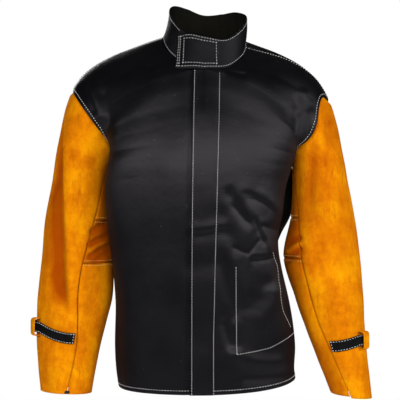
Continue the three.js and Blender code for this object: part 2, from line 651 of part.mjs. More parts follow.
// A bent leather loop over the strap, standing off the sleeve a little to the front of its outer edge
function strapKeeper(side) {
  const { height, foot, reach, width, wall, corner } = KEEPER;
  const { point, normal } = sleeveSurface(side)(STRAP[side].keeperAngle, STRAP[side].keeperAlong);
  const outline = new THREE.Shape();
  outline.moveTo(foot, height / 2);
  outline.lineTo(reach - corner, height / 2);
  outline.quadraticCurveTo(reach, height / 2, reach, height / 2 - corner);
  outline.lineTo(reach, corner - height / 2);
  outline.quadraticCurveTo(reach, -height / 2, reach - corner, -height / 2);
  outline.lineTo(foot, -height / 2);
  outline.lineTo(foot, wall - height / 2);
  outline.lineTo(reach - corner, wall - height / 2);
  outline.quadraticCurveTo(reach - wall, wall - height / 2, reach - wall, corner - height / 2);
  outline.lineTo(reach - wall, height / 2 - corner);
  outline.quadraticCurveTo(reach - wall, height / 2 - wall, reach - corner, height / 2 - wall);
  outline.lineTo(foot, height / 2 - wall);
  outline.closePath();
  const bend = { depth: width, bevelEnabled: false, curveSegments: 5 };
  const geometry = new THREE.ExtrudeGeometry(outline, bend);
  geometry.translate(0, 0, -width / 2);
  geometry.rotateX(Math.PI / 2);
  geometry.rotateZ(Math.atan2(normal.y, normal.x));
  geometry.translate(point.x, point.y, point.z);
  return geometry;
}

const jacket = new THREE.Group();
jacket.name = "welding_jacket";

function add(name, geometry, looks) {
  const mesh = new THREE.Mesh(geometry, new THREE.MeshStandardMaterial(looks));
  mesh.name = name;
  jacket.add(mesh);
}

for (const side of ["right", "left"]) {
  add(`front_${side}`, frontPanel(side), BLACK_COTTON);
  add(`${side}_top_sleeve`, topSleeve(side), GOLD_LEATHER);
  ["upper", "middle", "lower"].forEach((name, piece) => {
    add(`${side}_under_sleeve_${name}`, underSleeve(side, piece), GOLD_LEATHER);
  });
  add(`${side}_cuff_strap`, cuffStrap(side), BLACK_STRAP);
  add(`${side}_strap_keeper`, strapKeeper(side), GOLD_LEATHER);
}
add("back", backPanel(), BLACK_COTTON);
add("collar", collarBand(), BLACK_COTTON);
add("storm_flap", stormFlap(), BLACK_COTTON);
add("pocket_bag", pocketBag(), BLACK_COTTON);

export default jacket;
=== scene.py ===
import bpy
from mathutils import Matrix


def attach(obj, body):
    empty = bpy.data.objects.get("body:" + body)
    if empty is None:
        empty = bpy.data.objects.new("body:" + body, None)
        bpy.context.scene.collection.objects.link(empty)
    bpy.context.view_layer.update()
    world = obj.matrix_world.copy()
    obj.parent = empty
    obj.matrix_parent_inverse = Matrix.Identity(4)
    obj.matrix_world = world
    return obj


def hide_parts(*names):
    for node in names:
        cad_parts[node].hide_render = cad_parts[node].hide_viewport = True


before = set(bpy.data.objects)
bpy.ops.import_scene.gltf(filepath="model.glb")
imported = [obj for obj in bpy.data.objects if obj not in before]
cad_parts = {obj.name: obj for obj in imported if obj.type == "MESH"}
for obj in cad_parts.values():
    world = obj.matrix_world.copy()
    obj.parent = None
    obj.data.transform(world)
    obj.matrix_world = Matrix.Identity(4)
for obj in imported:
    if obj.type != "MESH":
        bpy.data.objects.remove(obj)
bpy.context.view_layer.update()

# A welder's jacket: black cotton body, stand collar and storm flap, with split-leather sleeves.
# Tables are in millimetres in the part's own frame: +Z up, front towards -Y, wearer's left towards +X.

import math

import bpy
import numpy as np

MM = 0.001
BODY = "root"

# Photograph's viewpoint in metres, and the camera's sensor in millimetres
CAMERA_PLACE = (-0.0085, -2.6, -0.339)
SEEN_WIDTH = 0.848
SENSOR_WIDTH = 36

# Wall thicknesses and clearances
COTTON_WALL = 1.5
LEATHER_WALL = 2
COLLAR_WALL = 2.6
FLAP_WALL = 2
SEWN_FLAP_WALL = 0.9
FLAP_LIFT = 1.8
FLAP_SEWN_SHARES = (0.82, 0.99)
FLAP_FREE_SHARE = 0.3
STRAP_WALL = 2.2
POCKET_WALL = 1.2
SEAM_GAP = 1
SHOULDER_GAP = 0.2
LAYER_GAP = 0.8
SEWN_GAP = 0.3
STRAP_GAP = 1.3
STRAP_RISE = 5.2
STRAP_RISE_ANGLE = 24
STRAP_LEVEL_ANGLE = 12
POCKET_GAP_EDGE = 3.2
POCKET_GAP_MIDDLE = 7

# How the sleeve head steps in under the body, and how the body's edge tucks in along the armhole
HEAD_INSET = 4.2
HEAD_RISE = 8
HEAD_DROP = 6
HEAD_DROP_REACH = 12
EDGE_TUCK = 1.6
EDGE_TUCK_REACH = 6

# Body
SIDES = ("right", "left")
SIGN = {"right": -1, "left": 1}
FACING = {"front": -1, "back": 1}
HEM = {"front": -734, "back": -730, "right": -727, "left": -711}
SIDE_SEAM_Y = 10
PIT_ROW = 0.65
NECK_ROW = {"front": 0.84, "back": 0.86}
NECK_ANGLE = {"front": 0, "back": 180}
CORNER_REACH = 0.09
NECK_HALF_WIDTH = 87.5
NECK_DEPTH = {"front": 82, "back": 74}
NECK_ROLL = 0.055
SHOULDER_AT_NECK = {"right": 92, "left": 80}
SHOULDER_AT_ARMHOLE = {"right": 0, "left": 18}
SHOULDER_RISE = {"right": 10, "left": 24}
SHOULDER_ROW = 0.8
HALF_PANEL_WIDTH = 260
UPPER_PANEL_LENGTH = 400
WHOLE_PANEL_LENGTH = 780
BODY_EDGE = SEAM_GAP / 2 / HALF_PANEL_WIDTH
ROW_EDGE = SHOULDER_GAP / 2 / UPPER_PANEL_LENGTH

# The storm flap and the pocket's inner edge lie within this share of a front panel's width
NEAR_CENTRE = 0.8

# Collar: degrees from the hidden end at centre front, past the wearer's right, to the end of the tab
COLLAR_END = 399.5
COLLAR_LIFT = -0.8
COLLAR_BELLY = 1
COLLAR_FLARE = 0.75
COLLAR_NORMAL_STEPS = (0.6, 0.02)

# Upright creases in the collar: place, half width and depth, and the shares of its height they grow over
COLLAR_CREASES = [(208, 2.5, -2.2), (236, 5, 1.8), (126, 5, 1.6), (152, 8, -1.2)]
COLLAR_CREASE_RISE = (0.1, 0.7)

# Sleeves
SLEEVE_LENGTH = 640
BACK_SLEEVE_SEAM = 215
SEAM_TURN = 0.5
ALONG_EDGE = SEAM_GAP / 2 / SLEEVE_LENGTH
CROSS_SEAMS = {"right": (0.4, 0.545), "left": (0.405, 0.54)}
UNDER_SLEEVE_PIECES = ("upper", "middle", "lower")
STRAP_WIDTH = 24
STRAP_BACK_ANGLE = -130
STRAP_FRONT_ANGLE = {"right": 103, "left": 112}
STRAP_FRONT_ALONG = {"right": 0.805, "left": 0.818}
KEEPER_ANGLE = {"right": 26, "left": 42}
KEEPER_ALONG = {"right": 0.768, "left": 0.8}
KEEPER_HEIGHT = 34
KEEPER_FOOT = 2
KEEPER_REACH = 12.5
KEEPER_WIDTH = 18
KEEPER_WALL = 2
KEEPER_CORNER = 5
KEEPER_BEND_POINTS = 9
KEEPER_STEP = 1.6

# The front seam of the left sleeve opens in a small notch at the cuff, and the under sleeve ends higher there
NOTCH_LENGTH = 0.005
NOTCH_WIDTH = {"right": 0, "left": 1.6}
UNDER_SLEEVE_END = {"right": 1, "left": 0.995}

# A black thread tack across the end of the right sleeve's front seam
TACK_ALONG = 0.9925
TACK_WIDTH = 7
TACK_HEIGHT = 6
TACK_ROWS = 9
TACK_PITCH = 1.2
TACK_ROUNDING = 1.1

# Drape: wave length, height, seed, and how much each axis counts in the waves' directions
ACROSS_MORE = (1, 1, 0.45)
DRAPES = {
    "body": [(150, 0.8, 5, ACROSS_MORE), (60, 0.32, 9, ACROSS_MORE)],
    "sleeve": [(120, 0.9, 21, ACROSS_MORE), (45, 0.3, 23, (1, 1, 0.8))],
    "collar": [(70, 0.35, 31, (1, 1, 1))],
}
DRAPE_WAVES = 14
DRAPE_SPREAD = (0.7, 1.5)

# Folds, rolled seams, and the painted shade in the leather's colour, given as a depth: darker towards the
# sleeves' inner sides and on some under-sleeve pieces, where a negative piece value paints light
FOLD_FADE = 0.25
FOLD_FACING_NONE = 0.05
FOLD_FACING_FULL = 0.4
FOLD_SEGMENTS = 28
CREASE_ROUNDING = 0.25
NORMAL_STEP = 0.004
BODY_FOLD_CARRY = (0.02, 0.12)
SEAM_ROLL = 1.3
SEAM_ROLL_REACH = 4
UNDER_SHADE = 9
UNDER_SHADE_ANGLES = (125, 185)
PIECE_SHADE = {"right": (4, 8, -4), "left": (3, 5, 4)}

# Thread
STITCH_PITCH = 5.8
STITCH_LENGTH = 3.1
THREAD_WIDTH = 1.3
THREAD_RAISE = 0.3
PATH_STEP = 2.0

# Grid steps of the fine panels
STEPS = {
    "front_across": 110, "front_rows": 280, "back_half": 56, "back_rows": 170, "collar_around": 210,
    "collar_up": 24, "flap_across": 22, "flap_rows": 220, "pocket_across": 26, "pocket_rows": 30,
    "top_sleeve": 104, "under_sleeve": 34, "sleeve_rows": 190, "strap_around": 80, "strap_across": 8,
    "keeper_across": 8, "fewest_sleeve_rows": 12,
}

# Rounds of the searches for a place on a surface
HALVINGS = 26
SEAT_TRIES = 12


class Table:
    """Rows of numbers under named columns, read on a smooth curve through the rows."""

    def __init__(self, names, rows):
        self.names = names.split()
        self.columns = dict(zip(self.names, np.array(rows, float).T))
        self.count = len(rows)

    def read(self, name, place):
        keys = self.columns[self.names[0]]
        values = self.columns[name]
        last = self.count - 1
        before = np.maximum(np.arange(self.count) - 1, 0)
        after = np.minimum(np.arange(self.count) + 1, last)
        slope = (values[after] - values[before]) / (keys[after] - keys[before])
        place = np.clip(np.asarray(place, float), keys[0], keys[-1])
        i = np.searchsorted(keys[1:-1], place)
        span = keys[i + 1] - keys[i]
        t = (place - keys[i]) / span
        rise = values[i + 1] - values[i]
        bend = (1 - t) * (slope[i] * span - rise) - t * (slope[i + 1] * span - rise)
        return values[i] + t * rise + t * (1 - t) * bend

    def rows(self):
        return [{name: self.columns[name][i] for name in self.names} for i in range(self.count)]


# Half widths of the body at the side seams, and its depth at centre front and centre back
SIDE = Table("z right left", [
    (-734, 177, 196), (-690, 184, 189), (-640, 188, 192), (-560, 184, 180), (-480, 180, 160),
    (-420, 180, 148), (-370, 180, 160), (-318, 179, 160), (-280, 178, 172), (-242, 180, 186),
])
CENTRE = Table("z front back", [
    (-734, 120, 135), (-600, 124, 128), (-480, 129, 116), (-350, 136, 119), (-250, 136, 130),
    (-170, 122, 129), (-110, 101, 119), (-66, 82, 107), (-20, 82, 90), (12, 82, 74),
])

# Height of the neck seam by angle from centre front (0) to centre back (180)
NECKLINE = Table("angle height", [
    (0, -66), (30, -58), (60, -33), (90, 0), (120, 8), (150, 11), (180, 12),
])

# How each row of a half panel leaves the centre or neck (in) and reaches the side or armhole (out)
PULL_COLUMNS = "row in_x in_y in_z out_x out_y out_z"
PULLS = {
    "front": Table(PULL_COLUMNS, [
        (0, 136, 0, 0, 8, -106, 0), (0.35, 136, 0, 0, 14, -106, 0), (0.58, 130, 0, 0, 34, -98, 0),
        (0.65, 118, -2, -4, 36, -90, 4), (0.74, 103, -9, -10, 12, -62, 22),
        (0.84, 84, -34, -12, -58, -24, 36), (0.92, 64, -20, -12, -44, -12, 46),
        (1, 62, 0, -21, -30, 0, 58),
    ]),
    "back": Table(PULL_COLUMNS, [
        (0, 112, 0, 0, 4, 88, 0), (0.35, 112, 0, 0, 4, 88, 0), (0.6, 112, 0, 0, 16, 80, 0),
        (0.65, 112, 0, -2, 20, 76, 4), (0.74, 104, 4, -6, 2, 56, 22), (0.84, 92, 10, -10, -58, 20, 36),
        (0.92, 70, 14, -14, -44, 10, 46), (1, 62, 0, -21, -30, 0, 58),
    ]),
}

# How much further some half panels swell out past their side seams, and how much further to the front
SWELLS = {
    ("front", "right"): Table("row out ahead", [
        (0, 0, 8), (0.2, 2, 10), (0.3, 20, 14), (0.39, 40, 20), (0.45, 48, 26), (0.545, 50, 34),
        (0.61, 36, 36), (0.65, 24, 30), (0.7, 18, 18), (0.75, 10, 8), (0.82, 0, 0), (1, 0, 0)]),
    ("back", "left"): Table("row out ahead", [
        (0, 0, 0), (0.3, 0, 0), (0.36, 6, -4), (0.41, 46, -18), (0.46, 82, -26), (0.545, 94, -28),
        (0.6, 50, -30), (0.64, 12, -18), (0.7, 0, 0), (1, 0, 0)]),
}

# How far the body laps over the sleeve head, by angle from the outer edge of the armhole (0) to the pit (180)
LAPS = {
    "right": Table("angle lap", [(0, 8), (110, 8), (145, 4), (175, 0), (180, 0)]),
    "left": Table("angle lap", [
        (0, 18), (14, 18), (30, 7), (46, 1), (62, 5), (80, 21),
        (98, 30), (118, 26), (146, 9), (175, 0), (180, 0)]),
}

# Sleeve sections from armhole (along 0) to cuff (along 1)
SLEEVE_COLUMNS = "along out_x out_z in_x in_z mid_y depth seam"
SLEEVES = {
    "right": Table(SLEEVE_COLUMNS, [
        (0, 276, -97, 180, -242, 10, 76, 172), (0.06, 295, -147, 194, -258, 14, 77, 169),
        (0.15, 309, -212, 203, -284, 17, 76, 161), (0.28, 322, -297, 204, -318, 18, 75, 146),
        (0.41, 339, -381, 200, -388, 16, 74, 125), (0.54, 346, -466, 193, -468, 10, 72, 104),
        (0.66, 352, -540, 195, -540, 2, 69, 99), (0.75, 353, -593, 206, -593, -6, 64, 105),
        (0.86, 351, -657, 221, -657, -14, 56, 108), (1, 344, -737, 235, -743, -22, 47, 96),
    ]),
    "left": Table(SLEEVE_COLUMNS, [
        (0, 257, -106, 186, -242, 10, 74, 175), (0.06, 275, -149, 188, -258, 14, 76, 172),
        (0.15, 289, -206, 187, -284, 17, 76, 168), (0.28, 306, -297, 188, -316, 18, 76, 162),
        (0.41, 320, -374, 184, -380, 14, 75, 145), (0.54, 332, -460, 170, -462, 8, 73, 127),
        (0.66, 338, -545, 194, -545, -2, 69, 127), (0.75, 339, -600, 212, -600, -10, 64, 124),
        (0.86, 343, -665, 236, -665, -18, 57, 114), (1, 353, -752, 267, -744, -26, 50, 100),
    ]),
}

# Collar by degrees along the band: drop below the neck seam, height of the top edge, how far the top draws
# in, how far the band stands out from the neck seam, and how far its foot is pushed to the front
COLLAR = Table("turn drop top lean out forward", [
    (0, 0, -9, 0.93, 0, 0), (30, 0, 8, 0.92, 0, 0), (60, 0, 40, 0.88, 0, 0), (90, 0, 63, 0.845, 0, 0),
    (120, 0, 77, 0.84, 0, 0), (150, 0, 74, 0.87, 0, 0), (180, 0, 62, 0.9, 0, 0), (210, 0, 63, 0.9, 0, 0),
    (240, 0, 64, 0.915, 0, 0), (270, 0, 50, 1.05, -1, 0), (300, 2, 18, 0.98, 4.5, 1),
    (330, 5.5, -6, 0.94, 6, 5), (360, 4.5, -1, 0.93, 5.5, 7), (380, 9, 6, 0.93, 6, 12),
    (399.5, 19, 2, 0.9, 7, 19),
])

# Side edges of the storm flap by panel row
FLAP = Table("row right left", [
    (0, -29, 21), (0.14, -29, 21), (0.42, -28, 26), (0.7, -25, 32), (0.837, -24, 34),
])

# Pocket bag on the wearer's left front, its stitched outline, and the edge of its mouth, seen from the front
POCKET_INNER_X = 68
POCKET_OUTER_ACROSS = 0.86
POCKET_TOP_Z = -452
POCKET_LOW_Z = -654
POCKET_LOW_OUTER_Z = -622
POCKET_SIDE_LINE = [(64, -476), (65, -561), (66, -649)]
POCKET_LOW_LINE = [(68, -651), (103, -646), (134, -640), (162, -627), (186, -616)]
POCKET_MOUTH_LINE = [(145, -446), (155, -474), (160, -535), (166, -566), (182, -598)]
MOUTH_STITCH_INSET = 5
MOUTH_STEP = 4
MOUTH_STEP_WIDTH = 3
MOUTH_STEP_REACH = (25, 60)
MOUTH_STEP_TOP_FADE = (0.02, 0.2)
MOUTH_STEP_LOW_FADE = (0, 0.1)

# Folds seen from the front: a line from one point to another that bends towards a third (by), its half width
# on the left and on the right as it runs, and its depth (outwards is positive)
FOLD_COLUMNS = "from_x from_z by_x by_z to_x to_z left right depth"
BODY_FOLDS = Table(FOLD_COLUMNS, [
    # wearer's right armhole and chest
    (-246, -91, -220, -122, -206, -187, 10, 8, 6),
    (-221, -97, -202, -133, -198, -215, 9, 9, -5),
    (-263, -93, -246, -120, -221, -170, 6, 7, -4),
    (-108, -130, -118, -400, -131, -660, 24, 22, -3.5),
    (-60, -200, -56, -399, -66, -560, 20, 20, 2),
    # wearer's left armhole
    (198, -112, 200, -165, 194, -245, 9, 9, -6),
    (222, -140, 211, -184, 200, -232, 8, 8, 4),
    (219, -135, 206, -175, 200, -212, 4, 4, -2),
    (210, -102, 199, -136, 195, -172, 7, 7, 2.5),
    # waist on the wearer's left
    (44, -306, 66, -366, 104, -400, 12, 9, -2.8),
    (60, -306, 92, -356, 110, -408, 13, 7, 2),
    (62, -326, 112, -322, 152, -380, 6, 18, -2.2),
    (96, -322, 136, -352, 180, -376, 13, 13, 1.8),
    (30, -340, 40, -400, 66, -462, 13, 13, -1.6),
    (27, -430, 40, -500, 74, -592, 13, 11, -3),
    (44, -405, 58, -476, 84, -558, 11, 11, 2),
    (30, -566, 48, -572, 70, -582, 9, 10, -1.8),
    # pocket and below it
    (80, -575, 107, -531, 144, -492, 10, 10, -1.8),
    (96, -528, 130, -522, 164, -519, 9, 9, 1.2),
    (102, -600, 138, -557, 160, -506, 10, 10, 1.8),
    (34, -570, 46, -612, 66, -652, 9, 8, -5),
    (44, -630, 80, -680, 190, -672, 12, 12, 3),
    (58, -698, 123, -698, 192, -690, 12, 12, -3),
    # below the collar, and across the storm flap
    (40, -69, 65, -79, 94, -81, 3, 9, -3),
    (-40, -394, -2, -399, 60, -384, 9, 9, 1.6),
    (-40, -412, -2, -407, 60, -396, 4, 9, -1.6),
    (-50, -477, -2, -471, 40, -467, 16, 16, -1.4),
    (-50, -620, -2, -624, 40, -620, 18, 18, -1.4),
])

# Sharp creases
BODY_CREASES = Table(FOLD_COLUMNS, [
    # along the free edge of the storm flap
    (-26.5, 150, -32, -400, -36, -960, 4, 3, -3),
    # where the cloth buckles at the waist on the wearer's left
    (100, -368, 110, -398, 126, -438, 5, 5, -2.4),
    (98, -386, 137, -396, 182, -409, 6, 10, -3),
    (110, -372, 128, -408, 136, -450, 5, 6, 1.8),
    (54, -432, 76, -444, 96, -450, 4, 4, -1.3),
    (86, -455, 97, -437, 118, -414, 4, 4, -1.3),
    (88, -460, 118, -463, 152, -454, 4, 8, -2),
    (84, -449, 118, -450, 154, -443, 8, 6, 1.2),
    (50, -342, 76, -372, 104, -398, 5, 5, -1.5),
    (82, -336, 118, -334, 146, -366, 4, 8, -1.5),
])
SLEEVE_FOLDS = Table(FOLD_COLUMNS, [
    # wearer's right sleeve
    (-302, -130, -313, -339, -290, -590, 8, 17, -14),
    (-291, -120, -291, -320, -276, -590, 15, 4, 7),
    (-316, -478, -300, -526, -281, -562, 8, 9, -5),
    (-225, -475, -231, -547, -241, -650, 12, 12, -5),
    (-314, -645, -305, -689, -297, -740, 13, 13, 3),
    (-246, -438, -223, -418, -196, -414, 4, 6, -7),
    (-246, -465, -217, -439, -192, -432, 4, 6, -7),
    (-234, -474, -209, -452, -190, -444, 4, 5, -6),
    (-244, -412, -217, -391, -194, -380, 4, 6, -6),
    (-246, -450, -220, -429, -194, -424, 4, 4, 4),
    (-330, -545, -300, -575, -285, -610, 12, 12, 3),
    # wearer's left sleeve
    (252, -118, 260, -191, 272, -240, 10, 9, -5),
    (226, -185, 219, -297, 216, -405, 11, 5, -4),
    (244, -205, 252, -360, 244, -494, 18, 18, -3),
    (193, -505, 217, -579, 247, -660, 10, 10, 4),
    (168, -440, 187, -421, 208, -414, 4, 6, -6),
    (166, -476, 188, -448, 210, -433, 4, 6, -6),
    (168, -456, 187, -434, 206, -424, 4, 4, 4),
    (262, -480, 276, -560, 300, -640, 15, 15, 4),
    (290, -300, 292, -400, 300, -520, 16, 16, -3),
])


def ramp(value, low, high):
    """Smooth step from 0 at low to 1 at high."""
    t = np.clip((np.asarray(value, float) - low) / (high - low), 0, 1)
    return t * t * (3 - 2 * t)


def mix(a, b, t):
    return a + (b - a) * t


def lengths(points):
    """Running length along the last-but-one axis of rows of points."""
    steps = np.linalg.norm(np.diff(points, axis=-2), axis=-1)
    start = np.zeros(steps.shape[:-1] + (1,))
    return np.concatenate([start, np.cumsum(steps, axis=-1)], axis=-1)


def unit(vectors):
    return vectors / np.linalg.norm(vectors, axis=-1, keepdims=True)


def line_offsets(line, x, z):
    """Distance of places seen from the front to a line of points, which side they lie on (left is positive),
    and how far along the line they are (0 to 1)."""
    line = np.asarray(line, float)
    run = lengths(line)
    nearest = np.full(x.shape, np.inf)
    side = np.zeros(x.shape)
    share = np.zeros(x.shape)
    for (ax, az), (bx, bz), start, end in zip(line, line[1:], run, run[1:]):
        dx, dz = bx - ax, bz - az
        t = np.clip(((x - ax) * dx + (z - az) * dz) / (dx * dx + dz * dz), 0, 1)
        away = np.hypot(x - ax - t * dx, z - az - t * dz)
        closer = away < nearest
        nearest = np.where(closer, away, nearest)
        side = np.where(closer, np.sign(dx * (z - az) - dz * (x - ax)), side)
        share = np.where(closer, mix(start, end, t) / run[-1], share)
    return nearest, side, share


def bent_line(first, second, third):
    """Points on a line that runs from the first point to the third and bends towards the second."""
    t = np.linspace(0, 1, FOLD_SEGMENTS + 1)[:, None]
    first, second, third = (np.array(point, float) for point in (first, second, third))
    return first * (1 - t) ** 2 + second * 2 * t * (1 - t) + third * t ** 2


def fold_depth(folds, x, z, crisp=False):
    """Sum of the folds. Each fades out at its ends and falls off from its line, sharply if crisp."""
    total = np.zeros(x.shape)
    for fold in folds.rows():
        line = bent_line(*((fold[f"{end}_x"], fold[f"{end}_z"]) for end in ("from", "by", "to")))
        away, side, share = line_offsets(line, x, z)
        width = np.where(side > 0, fold["left"], fold["right"])
        fade = ramp(share, 0, FOLD_FADE) * ramp(1 - share, 0, FOLD_FADE)
        if crisp:
            fall = np.exp(CREASE_ROUNDING - np.hypot(away / width, CREASE_ROUNDING))
        else:
            fall = np.exp(-0.5 * (away / width) ** 2)
        total += fold["depth"] * fade * fall
    return total


def drape(points, place):
    """Soft uneven drape of cloth: many low waves in seeded directions."""
    total = np.zeros(points.shape[:-1])
    for wave_length, height, seed, axes in DRAPES[place]:
        chance = np.random.default_rng(seed)
        heights = np.zeros(points.shape[:-1])
        for _ in range(DRAPE_WAVES):
            direction = unit(chance.normal(size=3)) * np.array(axes)
            number = 2 * math.pi / (wave_length * chance.uniform(*DRAPE_SPREAD))
            heights += np.sin(points @ direction * number + chance.uniform(0, 2 * math.pi))
        total += height * heights / math.sqrt(DRAPE_WAVES)
    return total


# Surfaces


def neck_point(angle):
    turn = np.radians(angle)
    depth = np.where(np.cos(turn) > 0, NECK_DEPTH["front"], NECK_DEPTH["back"])
    x = NECK_HALF_WIDTH * np.sin(turn)
    z = NECKLINE.read("height", np.abs(angle)) - NECK_ROLL * x
    return np.stack([x, -depth * np.cos(turn), z], -1)


def sleeve_section(side, along, angle, inset):
    """Point of a sleeve section: angle 0 is its outer edge, 90 front, 180 its inner edge, 270 back."""
    sleeve = SLEEVES[side]
    out_x, out_z, in_x, in_z, mid_y, depth = (
        sleeve.read(name, along) for name in ("out_x", "out_z", "in_x", "in_z", "mid_y", "depth"))
    half_x, half_z = (out_x - in_x) / 2, (out_z - in_z) / 2
    turn = np.radians(angle)
    reach = np.cos(turn) * (1 - inset / np.hypot(half_x, half_z))
    x = (out_x + in_x) / 2 + half_x * reach
    y = mid_y - (depth - inset) * np.sin(turn)
    z = (out_z + in_z) / 2 + half_z * reach
    return np.stack(np.broadcast_arrays(SIGN[side] * x, y, z), -1)


def armhole_lap(side, angle):
    """Share of the sleeve's length that the body laps over its head."""
    return LAPS[side].read("lap", angle) / SLEEVE_LENGTH


def row_start(half, side, row):
    """Where a row of a half panel starts: up centre front or back, then round the neck seam."""
    neck_row, neck_angle = NECK_ROW[half], NECK_ANGLE[half]
    z = mix(HEM[half], neck_point(neck_angle)[2], np.clip(row / neck_row, 0, 1))
    centre = np.stack([np.zeros_like(z), FACING[half] * CENTRE.read(half, z), z], -1)
    turned = np.clip((row - neck_row) / (1 - neck_row), 0, 1)
    neck = neck_point(SIGN[side] * mix(neck_angle, SHOULDER_AT_NECK[side], turned))
    return np.where((row <= neck_row)[..., None], centre, neck)


def row_end(half, side, row):
    """Where it ends: up the side seam, then round the armhole, lapping over the sleeve head."""
    pit = SLEEVES[side].columns["in_z"][0]
    z = mix(HEM[side], pit, np.clip(row / PIT_ROW, 0, 1))
    seam = np.stack([SIGN[side] * SIDE.read(side, z), np.full_like(z, SIDE_SEAM_Y), z], -1)
    turned = np.clip((row - PIT_ROW) / (1 - PIT_ROW), 0, 1)
    angle = mix(-FACING[half] * 180, SHOULDER_AT_ARMHOLE[side], turned)
    armhole = sleeve_section(side, armhole_lap(side, np.abs(angle)), angle, 0)
    return np.where((row <= PIT_ROW)[..., None], seam, armhole)


def worn(edge, row):
    """Mean of an edge a little before and after a row, which wears the corners off the edge."""
    reach = np.minimum(CORNER_REACH, np.minimum(row, 1 - row))
    return np.mean([edge(row + share * reach) for share in (-1, -0.5, 0, 0.5, 1)], axis=0)


class Surface:
    """A surface of two numbers, each from 0 to its end, with its relief pushed along its normal."""

    def __init__(self, base, turned, relief, ends=(1, 1), steps=(NORMAL_STEP, NORMAL_STEP)):
        self.base = base
        self.turned = turned
        self.relief = relief
        self.ends = ends
        self.steps = steps

    def at(self, u, v):
        """Points with the relief, and the outward normals of the surface without it."""
        u, v = np.broadcast_arrays(np.asarray(u, float), np.asarray(v, float))
        (end_u, end_v), (step_u, step_v) = self.ends, self.steps
        along = self.base(np.minimum(u + step_u, end_u), v) - self.base(np.maximum(u - step_u, 0), v)
        up = self.base(u, np.minimum(v + step_v, end_v)) - self.base(u, np.maximum(v - step_v, 0))
        normals = unit(np.cross(along, up)) * self.turned
        points = self.base(u, v)
        facing = ramp(-normals[..., 1], FOLD_FACING_NONE, FOLD_FACING_FULL)
        return points + normals * self.relief(u, v, points, facing)[..., None], normals


def mouth_step(x, z):
    """The cloth past the pocket's mouth lies lower than the pocket's edge."""
    away, side, share = line_offsets(POCKET_MOUTH_LINE, x, z)
    past = np.where(side > 0, away, 0)
    fade = ramp(share, *MOUTH_STEP_TOP_FADE) * ramp(1 - share, *MOUTH_STEP_LOW_FADE)
    return MOUTH_STEP * fade * ramp(past, 0, MOUTH_STEP_WIDTH) * (1 - ramp(past, *MOUTH_STEP_REACH))


def body_surface(half, side):
    """A half panel's outer surface by share across it, from its centre, and by row up it."""
    pulls = PULLS[half]
    sign = SIGN[side]

    def pull(row, end):
        x, y, z = (pulls.read(f"{end}_{axis}", row) for axis in "xyz")
        if end == "out":
            z = z + SHOULDER_RISE[side] * ramp(row, SHOULDER_ROW, 1)
        if end == "out" and (half, side) in SWELLS:
            x = x + SWELLS[half, side].read("out", row)
            y = y - SWELLS[half, side].read("ahead", row)
        return np.stack([sign * x, y, z], -1)

    def start_of(row):
        return row_start(half, side, row)

    def end_of(row):
        return row_end(half, side, row)

    def base(across, row):
        t = across[..., None]
        first = worn(start_of, row) + pull(row, "in")
        second = worn(end_of, row) + pull(row, "out")
        return (start_of(row) * (1 - t) ** 3 + first * 3 * t * (1 - t) ** 2
                + second * 3 * t ** 2 * (1 - t) + end_of(row) * t ** 3)

    def relief(across, row, points, facing):
        x, z = points[..., 0], points[..., 2]
        total = facing * (fold_depth(BODY_FOLDS, x, z) + fold_depth(BODY_CREASES, x, z, crisp=True))
        if half == "front" and side == "left":
            total = total - facing * mouth_step(x, z)
        edge = np.exp(-(((1 - across) * HALF_PANEL_WIDTH / EDGE_TUCK_REACH) ** 2))
        tuck = EDGE_TUCK * edge * ramp(row, PIT_ROW, PIT_ROW + CORNER_REACH)
        return total + drape(points, "body") - tuck

    return Surface(base, -FACING[half] * sign, relief)


def sleeve_surface(side):
    """A sleeve's outer surface by degrees from its outer edge and by share of its length."""

    def base(around, along):
        angle = 360 * around
        lap = armhole_lap(side, 180 - np.abs(180 - angle))
        inset = HEAD_INSET * (1 - ramp(along, lap, lap + HEAD_RISE / SLEEVE_LENGTH))
        inset = inset + HEAD_DROP * (1 - ramp(along, lap - HEAD_DROP_REACH / SLEEVE_LENGTH, lap))
        return sleeve_section(side, along, angle, inset)

    def relief(_around, along, points, facing):
        x, z = points[..., 0], points[..., 2]
        free = ramp(along, *BODY_FOLD_CARRY)
        folds = mix(fold_depth(BODY_FOLDS, x, z), 0, free) + fold_depth(SLEEVE_FOLDS, x, z)
        return facing * folds + mix(drape(points, "body"), drape(points, "sleeve"), free)

    surface = Surface(base, SIGN[side], relief)
    return lambda angle, along: surface.at(np.mod(angle, 360) / 360, along)


def collar_base(turn, up):
    read = {name: COLLAR.read(name, turn) for name in COLLAR.names[1:]}
    foot = neck_point(np.where(turn <= 180, -turn, 360 - turn))
    flat = foot * np.array([1, 1, 0])
    lean = mix(1, read["lean"], np.sin(np.pi * up / 2) ** COLLAR_FLARE)
    stand = read["out"] + COLLAR_BELLY * np.sin(np.pi * up)
    z = mix(foot[..., 2] + COLLAR_LIFT - read["drop"], read["top"], up)
    y = foot[..., 1] * lean - mix(read["forward"], 0, up)
    return np.stack([foot[..., 0] * lean, y, z], -1) + unit(flat) * stand[..., None]


def collar_relief(turn, up, points, _facing):
    relief = drape(points, "collar")
    for crease, width, depth in COLLAR_CREASES:
        relief = relief + depth * np.exp(-(((turn - crease) / width) ** 2)) * ramp(up, *COLLAR_CREASE_RISE)
    return relief


FRONTS = {side: body_surface("front", side) for side in SIDES}
BACKS = {side: body_surface("back", side) for side in SIDES}
BODY_HALVES = [*FRONTS.values(), *BACKS.values()]
SLEEVE_AT = {side: sleeve_surface(side) for side in SIDES}
COLLAR_AT = Surface(collar_base, -1, collar_relief, (COLLAR_END, 1), COLLAR_NORMAL_STEPS).at


def place_of(target, low, high, value_at):
    """Places between two limits at which a rising value reaches its target."""
    low = np.full(np.shape(target), float(low))
    high = np.full(np.shape(target), float(high))
    for _ in range(HALVINGS):
        middle = (low + high) / 2
        below = value_at(middle) < target
        low = np.where(below, middle, low)
        high = np.where(below, high, middle)
    return (low + high) / 2


